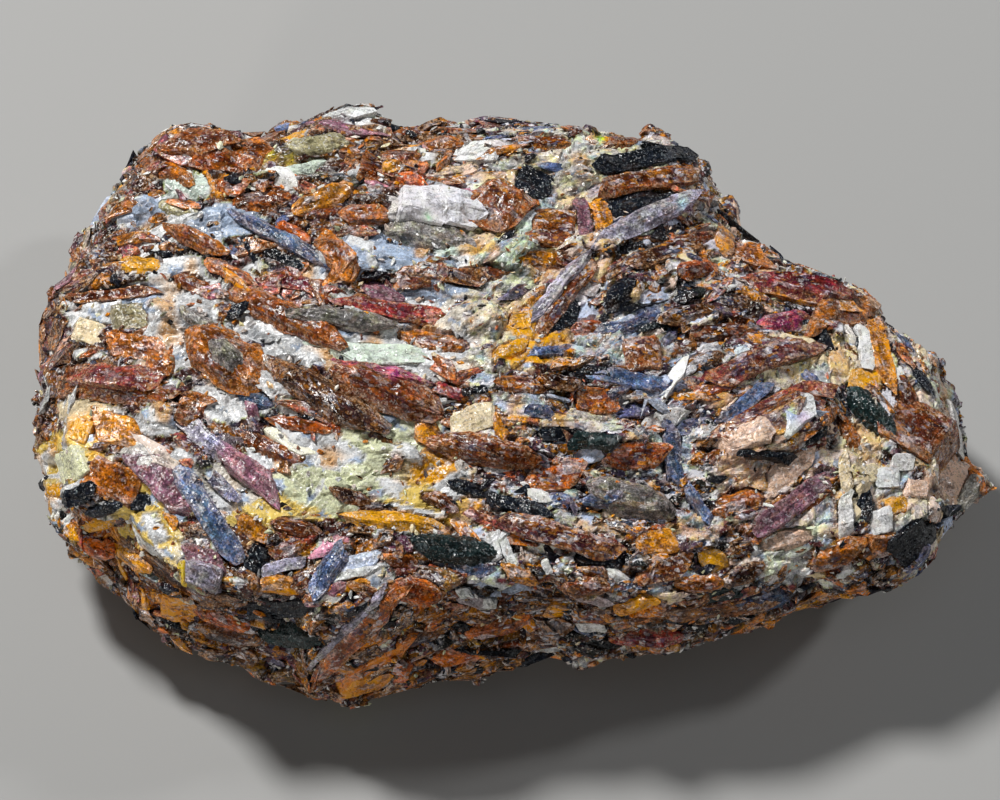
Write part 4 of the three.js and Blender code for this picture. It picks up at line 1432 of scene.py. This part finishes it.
TAN = (0.56, 0.29, 0.12)
LOOKS = {
    "titanite_large": Look(
        "titanite_large", ior=1.55, rough=(0.05, 0.22), depth=0.65, inner=0.35, striped=0.1,
        shatter=0.2, glow=0.95, mixed=0.5, dust_and_glints=0.3, dust_and_glint_colour=(0.74, 0.56, 0.42), cracks=0.4,
        crack_colour=(0.36, 0.17, 0.08), rim=0.45, rim_colour=TAN, glints=(0.15, 0.18, 0.22)),
    "titanite": Look(
        "titanite", ior=1.6, rough=(0.05, 0.26), depth=0.75, inner=0.35, striped=0.1,
        shatter=0.4, glow=0.9, mixed=0.65, dust_and_glints=0.36, dust_and_glint_colour=(0.76, 0.6, 0.46), cracks=0.35,
        crack_colour=(0.34, 0.16, 0.08), rim=0.5, rim_colour=TAN, glints=(0.16, 0.18, 0.24)),
    "grey": Look(
        "grey_laths", ior=1.55, rough=(0.05, 0.3), depth=0.6, inner=0.15, striped=0.3,
        shatter=0.25, glow=0.2, mixed=0.15, dust_and_glints=0.28, dust_and_glint_colour=(0.56, 0.52, 0.58),
        cracks=0.3, crack_colour=(0.3, 0.2, 0.16), rim=0.4, rim_colour=(0.4, 0.3, 0.28),
        glints=(0.14, 0.16, 0.3)),
    "black": Look(
        "black_needles", rough=(0.04, 0.2), depth=0.5, inner=0.1, striped=0.15, shatter=0.3,
        glow=0.0, mixed=0.03, dust_and_glints=0.16, dust_and_glint_colour=(0.42, 0.5, 0.54), cracks=0.05,
        crack_colour=(0.12, 0.13, 0.15), rim=0.04, rim_colour=(0.12, 0.14, 0.18),
        glints=(0.3, 0.3, 0.6), shine=0.35),
    "pale": Look(
        "pale_grains", rough=(0.08, 0.4), depth=0.26, inner=0.08, striped=0.15, shatter=0.25,
        glow=0.1, mixed=0.35, dust_and_glints=0.4, dust_and_glint_colour=(0.8, 0.81, 0.83), cracks=0.5,
        crack_colour=(0.26, 0.22, 0.18), rim=0.2, rim_colour=(0.7, 0.68, 0.65),
        glints=(0.2, 0.2, 0.5)),
    "matrix": Look(
        "sugary_matrix", rough=(0.06, 0.4), depth=0.25, inner=0.0, striped=0.12, shatter=0.24,
        glow=0.85, mixed=0.9, dust_and_glints=0.55, dust_and_glint_colour=(0.76, 0.72, 0.66), cracks=0.3,
        crack_colour=(0.16, 0.12, 0.08), rim=0.0, rim_colour=TAN, glints=(0.3, 0.3, 0.6)),
}


def uneven_along(tree, colour, grain, pattern, amount):
    """The colour darker and brighter by this much, in a pattern that runs with the grain."""
    stretch, scale, detail, low, high = pattern
    stretched = vector(tree, "MULTIPLY", grain, stretch)
    value = noise(tree, stretched, scale, detail, GRAIN_ROUGHNESS)
    return scaled_colour(tree, colour, ranged(tree, value, low, high, 1 - amount, 1 + amount))


def outer_share(tree):
    """0 in a crystal's middle to 1 at its sides and ends."""
    along, across, _ = split(tree, attribute(tree, "zone", "Vector"))
    return arithmetic(tree, "MAXIMUM", arithmetic(tree, "ABSOLUTE", across),
                      arithmetic(tree, "ABSOLUTE", along))


def crack_mask(tree, place):
    """1 on thin wandering cracks, which come and go."""
    wander = add_node(tree, "ShaderNodeTexNoise", Vector=place, Scale=WANDER_SCALE,
                      Detail=WANDER_DETAIL).outputs["Color"]
    bent = vector(tree, "MULTIPLY_ADD", wander, (WANDER_SIZE,) * 3, place)
    distance = voronoi(tree, bent, 1 / (CRACK_SPACING * MM), "Distance", "DISTANCE_TO_EDGE")
    line = ranged(tree, distance, 0.0, CRACK_WIDTH, 1.0, 0.0)
    return product(tree, line, patchy(tree, place, "cracked"))


def shattered(tree, grain, size_mm):
    """Three random numbers for each splinter, which runs with the grain."""
    stretched = vector(tree, "MULTIPLY", grain, SPLINTER_STRETCH)
    return voronoi(tree, stretched, 1 / size_mm, "Color")


def glinting_normal(tree, splinters, strengths, share):
    """The surface's normal, turned a little from one splinter to the next."""
    normal = add_node(tree, "ShaderNodeNewGeometry").outputs["Normal"]
    for numbers, strength in zip(splinters, strengths):
        turned = scaled_colour(tree, vector(tree, "SUBTRACT", numbers, (0.5, 0.5, 0.5)), share)
        normal = vector(tree, "MULTIPLY_ADD", turned, (strength,) * 3, normal)
    return vector(tree, "NORMALIZE", normal)


def splinter_colours(tree, colour, numbers, amount):
    """The colour with some of its splinters of other colours, other minerals' and painted
    reflections, by as much as amount.
    """
    own = split(tree, numbers)["Y"]
    for low, high, other in SPLINTERS:
        above = arithmetic(tree, "GREATER_THAN", own, low)
        below = arithmetic(tree, "LESS_THAN", own, high)
        colour = blended(tree, product(tree, above, below, amount), colour, other)
    return colour


def splintered(tree, look, colour, splinters, jumbled, contrast):
    """The colour with each splinter's own light, and with some of other colours."""
    for numbers, share in zip(splinters, SPLINTER_SHARES):
        spread = share * look.shatter * 2
        own = split(tree, numbers)["X"]
        uneven = product(tree, ranged(tree, own, 0, 1, -spread, spread), contrast)
        colour = scaled_colour(tree, colour, arithmetic(tree, "POWER", math.e, uneven))
        amount = product(tree, jumbled, share * look.mixed)
        colour = splinter_colours(tree, colour, numbers, amount)
    return colour


def chipped(tree, look, colour, chips, flecked_over, contrast):
    """The colour with each small chip's own light, and with the flecks of dust and painted glints.
    """
    own_light, own_dust, _ = split(tree, chips)
    uneven = product(tree, ranged(tree, own_light, 0, 1, -CHIP_LIGHT, CHIP_LIGHT), contrast)
    colour = scaled_colour(tree, colour, arithmetic(tree, "ADD", uneven, 1.0))
    colour = held_under(tree, colour, BRIGHTEST)
    # Flecks: partly dust, partly painted glints.
    dust_and_glint = product(tree, arithmetic(tree, "GREATER_THAN", own_dust, flecked_over), look.dust_and_glints)
    return blended(tree, dust_and_glint, colour, (*look.dust_and_glint_colour, 1.0))


def finish_surface(tree, look, place, splinters, chips, contrast):
    """Sets how rough the surface is and how its splinters, chips and bumps turn the light."""
    shader = tree.nodes["Principled BSDF"]
    rough = ranged(tree, split(tree, chips)["Z"], 0.0, 1.0, *look.rough)
    tree.links.new(rough, shader.inputs["Roughness"])
    bump = add_node(tree, "ShaderNodeBump", Strength=product(tree, contrast, BUMP_SHARE),
                    Distance=BUMP_HEIGHT * MM,
                    Height=noise(tree, place, 1 / (BUMP_SIZE * MM), BUMP_DETAIL),
                    Normal=glinting_normal(tree, (*splinters, chips), look.glints, contrast))
    tree.links.new(bump.outputs["Normal"], shader.inputs["Normal"])
    shader.inputs["IOR"].default_value = look.ior
    shader.inputs["Specular IOR Level"].default_value = look.shine


def mineral_material(look):
    """A glassy mineral: its tint deep and glowing in turn, shattered, flecked with dust and painted
    glints, and lighter at its edges as wear and painted highlight.
    """
    material = bpy.data.materials.new(look.name)
    material.use_nodes = True
    tree = material.node_tree
    place = add_node(tree, "ShaderNodeTexCoord").outputs["Object"]
    grain = attribute(tree, "grain", "Vector")
    glassy = attribute(tree, "glassy", "Fac")
    contrast = risen(tree, DULL_UNEVEN, glassy)
    outer = outer_share(tree)

    colour = attribute(tree, "tint", "Color")
    colour = uneven_along(tree, colour, grain, DEEP_AND_PALE, look.depth)
    colour = uneven_along(tree, colour, grain, FINE_STRIPES, look.striped)
    from_middle = ranged(tree, outer, *INNER_TO_OUTER, 1 - look.inner, 1 + look.inner)
    colour = scaled_colour(tree, colour, from_middle)
    glowing = product(tree, patchy(tree, place, "glowing"), look.glow, glassy)
    colour = blended(tree, glowing, colour, vector(tree, "MULTIPLY", colour, WARM_LIGHT))

    splinters = [shattered(tree, grain, size) for size in SPLINTER_SIZES]
    jumbled = product(tree, attribute(tree, "broken", "Fac"), patchy(tree, place, "jumbled"),
                      risen(tree, DULL_JUMBLE, glassy))
    colour = splintered(tree, look, colour, splinters, jumbled, contrast)

    cracks = product(tree, crack_mask(tree, place), look.cracks)
    colour = blended(tree, cracks, colour, (*look.crack_colour, 1.0))
    # Lighter edges: partly wear, partly painted highlight.
    edge_wear_and_highlight = product(tree, ranged(tree, outer, *EDGE_WEAR_AND_HIGHLIGHT), patchy(tree, place, "edge_wear_and_highlight"), look.rim)
    colour = blended(tree, edge_wear_and_highlight, colour, (*look.rim_colour, 1.0))

    chips = voronoi(tree, place, 1 / (SMALL_CHIP * MM), "Color")
    # Where the flecks of dust and painted glints fall, more of them at the lighter edges.
    flecked_over = arithmetic(tree, "SUBTRACT", patchy(tree, place, "flecked_over", *FLECK_THRESHOLDS),
                       arithmetic(tree, "MULTIPLY", edge_wear_and_highlight, EDGES_MORE_FLECKED))
    colour = chipped(tree, look, colour, chips, flecked_over, contrast)
    tree.links.new(colour, tree.nodes["Principled BSDF"].inputs["Base Color"])
    finish_surface(tree, look, place, splinters, chips, contrast)
    return material


# ---------------- writing the pieces

# Small rainbow-coloured painted sheens inside crystals, painted reflections mixed into the tints:
# their pixels, radius in pixels and colour.
PAINTED_SHEENS = [
    (595, 135, 4, (0.75, 0.5, 0.02)), (600, 139, 4, (0.1, 0.5, 0.05)),
    (684, 204, 5, (0.2, 0.55, 0.6)), (688, 209, 4, (0.4, 0.15, 0.6)),
    (428, 217, 4, (0.3, 0.7, 0.4)), (792, 414, 7, (0.4, 0.55, 0.9)),
    (804, 418, 6, (0.7, 0.5, 0.85)), (215, 442, 7, (0.2, 0.25, 0.55)),
    (118, 170, 7, (0.75, 0.6, 0.8)), (108, 190, 7, (0.5, 0.65, 0.8)),
    (392, 371, 6, (0.45, 0.05, 0.3)),
]
PAINTED_SHEEN_SHARE = 0.8


def with_painted_sheens(points, tints):
    """The tints with the rainbow-coloured painted sheens mixed in."""
    pixels = pixel_of(points)
    for x, y, radius, colour in PAINTED_SHEENS:
        away = np.linalg.norm(pixels - (x, y), axis=1) / radius
        share = PAINTED_SHEEN_SHARE * np.exp(-away ** 2)[:, None]
        tints = tints + (np.array(colour) - tints) * share
    return tints


def add_attribute(mesh, name, kind, field, values):
    """Gives each point of a mesh a value of this kind."""
    mesh.attributes.new(name, kind, "POINT").data.foreach_set(field, values.ravel())


def write_piece(name, points, triangles, material, tints, zones, grains, glassy, places=None):
    """Makes one mesh object from arrays and ties it to the frame."""
    # The painted rainbow sheens go into the tints here.
    tints = with_painted_sheens(points, tints)
    mesh = bpy.data.meshes.new(name)
    mesh.vertices.add(len(points))
    mesh.vertices.foreach_set("co", (points * MM).ravel())
    mesh.loops.add(triangles.size)
    mesh.loops.foreach_set("vertex_index", triangles.ravel().astype(np.int32))
    mesh.polygons.add(len(triangles))
    mesh.polygons.foreach_set("loop_start", np.arange(0, triangles.size, 3, dtype=np.int32))
    mesh.update(calc_edges=True)
    mesh.polygons.foreach_set("use_smooth", np.zeros(len(triangles), bool))
    add_attribute(mesh, "tint", "FLOAT_COLOR", "color", np.c_[tints, np.ones(len(points))])
    add_attribute(mesh, "zone", "FLOAT_VECTOR", "vector", zones)
    add_attribute(mesh, "grain", "FLOAT_VECTOR", "vector", grains)
    add_attribute(mesh, "glassy", "FLOAT", "value", glassy)
    add_attribute(mesh, "broken", "FLOAT", "value", broken_at(points))
    if places is not None:
        layer = mesh.uv_layers.new(name="OFBake")
        layer.uv.foreach_set("vector", places.astype(np.float32).ravel())
    mesh.materials.append(material)
    piece = bpy.data.objects.new(name, mesh)
    bpy.context.scene.collection.objects.link(piece)
    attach(piece, "root")
    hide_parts(NODE)


FLOOR_CLEARANCE = 0.05
# How glassy pale crystals are, where the others are 1.
PALE_GLASSY = 0.45
# The chips broken out of crystals, as spacings and depths, and the furthest that a crystal
# stands out of the solid.
LARGE_CHIPS = [(1.3, 0.13), (0.55, 0.06)]
SMALL_CHIPS = [(0.7, 0.07)]
TALLEST = {"large": 0.32, "medium": 0.26, "fragments": 0.26, "grains": 0.25}


def write_batch(mineral, kind, batch, material):
    """Writes a batch of crystals as one piece."""
    points = batch.joined(LARGE_CHIPS if kind == "large" else SMALL_CHIPS, TALLEST[kind])
    points[:, 2] = np.maximum(points[:, 2], FLOOR_CLEARANCE)
    triangles, tints, zones, grains = (
        np.concatenate(part) for part in (batch.triangles, batch.tints, batch.zones, batch.grains))
    glassy = np.full(len(points), PALE_GLASSY if mineral == "pale" else 1.0)
    write_piece(f"{mineral}_{kind}", points, triangles, material, tints, zones, grains, glassy,
                batch.map_places())


def write_matrix(material):
    """Writes the mass as three pieces side by side, each small enough to hand in."""
    points, triangles, tints, glassy, grains = matrix_arrays()
    zones = np.zeros_like(points)
    middle = points[triangles].mean(1)[:, 0]
    limits = [-np.inf, *np.quantile(middle, [1 / 3, 2 / 3]), np.inf]
    for number, (low, high) in enumerate(zip(limits, limits[1:])):
        part = triangles[(middle > low) & (middle <= high)]
        used, renumbered = np.unique(part, return_inverse=True)
        write_piece(f"rock_matrix_{number}", points[used], renumbered.reshape(-1, 3), material,
                    tints[used], zones[used], grains[used], glassy[used])


# ---------------- the stage


FLOOR_SIZE = 4.0
FLOOR_COLOUR = (0.37, 0.37, 0.366, 1)
FLOOR_ROUGHNESS = 0.9
SKY_COLOUR = (0.86, 0.93, 1.0, 1)
SKY_STRENGTH = 0.03
# Round lamps: the way to each, how far off it is and how wide in metres, its watts and colour.
LAMPS = {
    "key": ((-0.45, 0.5, 0.9), 0.7, 0.12, 5.45, (1.0, 0.99, 0.97)),
    "top_fill": ((0.1, -0.25, 1.0), 0.8, 0.5, 0.18, (0.7, 0.85, 1.0)),
    "side_glint": ((0.8, 0.3, 0.6), 0.7, 0.08, 1.1, (1.0, 1.0, 1.0)),
    "low_fill": ((-0.55, -0.8, 0.26), 0.7, 0.1, 1.1, (1.0, 0.93, 0.85)),
}


def add_light(name, direction, distance, size, watts, colour):
    data = bpy.data.lights.new(name, "AREA")
    data.shape = "DISK"
    data.size = size
    data.energy = watts
    data.color = colour
    light = bpy.data.objects.new(name, data)
    bpy.context.scene.collection.objects.link(light)
    towards = Vector(direction).normalized()
    light.location = towards * distance
    light.rotation_euler = towards.to_track_quat("Z", "Y").to_euler()


def add_stage():
    """The floor, the lamps and a dim sky."""
    bpy.ops.mesh.primitive_plane_add(size=FLOOR_SIZE)
    floor = bpy.context.object
    floor.name = "floor"
    paper = bpy.data.materials.new("floor_paper")
    paper.use_nodes = True
    shader = paper.node_tree.nodes["Principled BSDF"]
    shader.inputs["Base Color"].default_value = FLOOR_COLOUR
    shader.inputs["Roughness"].default_value = FLOOR_ROUGHNESS
    floor.data.materials.append(paper)

    world = bpy.data.worlds.new("studio")
    world.use_nodes = True
    sky = world.node_tree.nodes["Background"]
    sky.inputs["Color"].default_value = SKY_COLOUR
    sky.inputs["Strength"].default_value = SKY_STRENGTH
    bpy.context.scene.world = world
    for name, lamp in LAMPS.items():
        add_light(name, *lamp)
    bpy.context.scene.view_settings.view_transform = "Standard"


# ---------------- the whole scene

MINERALS = ("titanite", "grey", "black", "pale")
# The minerals that the smallest grains are of.
GRAIN_MINERALS = ("titanite", "black", "pale")
# The seed of each kind's draws, and how the scattered kinds are drawn, as fill says.
SEEDS = {"large": 41, "medium": 42, "fragments": 43, "grains": 44}
SCATTERED = {
    "medium": {
        "number": 7000, "distance": 2.0, "length": (2.6, 6.2), "width": (1.1, 2.4),
        "form_names": ["middling_lens", "middling_lath", "middling_block"],
        "grown": 1.05, "patch_share": 0.12, "raised": 0.06, "tilt": 0.22, "stray": 0.25},
    "fragments": {
        "number": 9000, "distance": 1.5, "length": (1.2, 3.2), "width": (0.6, 1.4),
        "form_names": ["middling_block", "middling_lens"],
        "grown": 1.0, "patch_share": 0.06, "raised": 0.08, "tilt": 0.36, "stray": 0.4},
    "grains": {
        "number": 5000, "distance": 0.4, "length": (0.4, 0.9), "width": (0.3, 0.6),
        "form_names": ["grain"],
        "grown": 0.7, "patch_share": 1.0, "raised": 0.1, "tilt": 0.6, "stray": 1.5,
        "colours": {"white": 5, "cream": 1, "pale_green": 1.5, "orange_brown": 2, "amber": 1,
                    "chocolate": 1.5, "black": 1}},
}


def main():
    add_camera()
    looks = {mineral: mineral_material(look) for mineral, look in LOOKS.items()}
    write_matrix(looks["matrix"])
    for kind, seed in SEEDS.items():
        batches = {mineral: Batch() for mineral in MINERALS}
        draw = np.random.default_rng(seed)
        if kind == "large":
            set_crystals(batches, draw)
        else:
            fill(batches, draw, **SCATTERED[kind])
        for mineral in GRAIN_MINERALS if kind == "grains" else MINERALS:
            look = looks.get(f"{mineral}_{kind}", looks[mineral])
            write_batch(mineral, kind, batches[mineral], look)
    add_stage()


main()
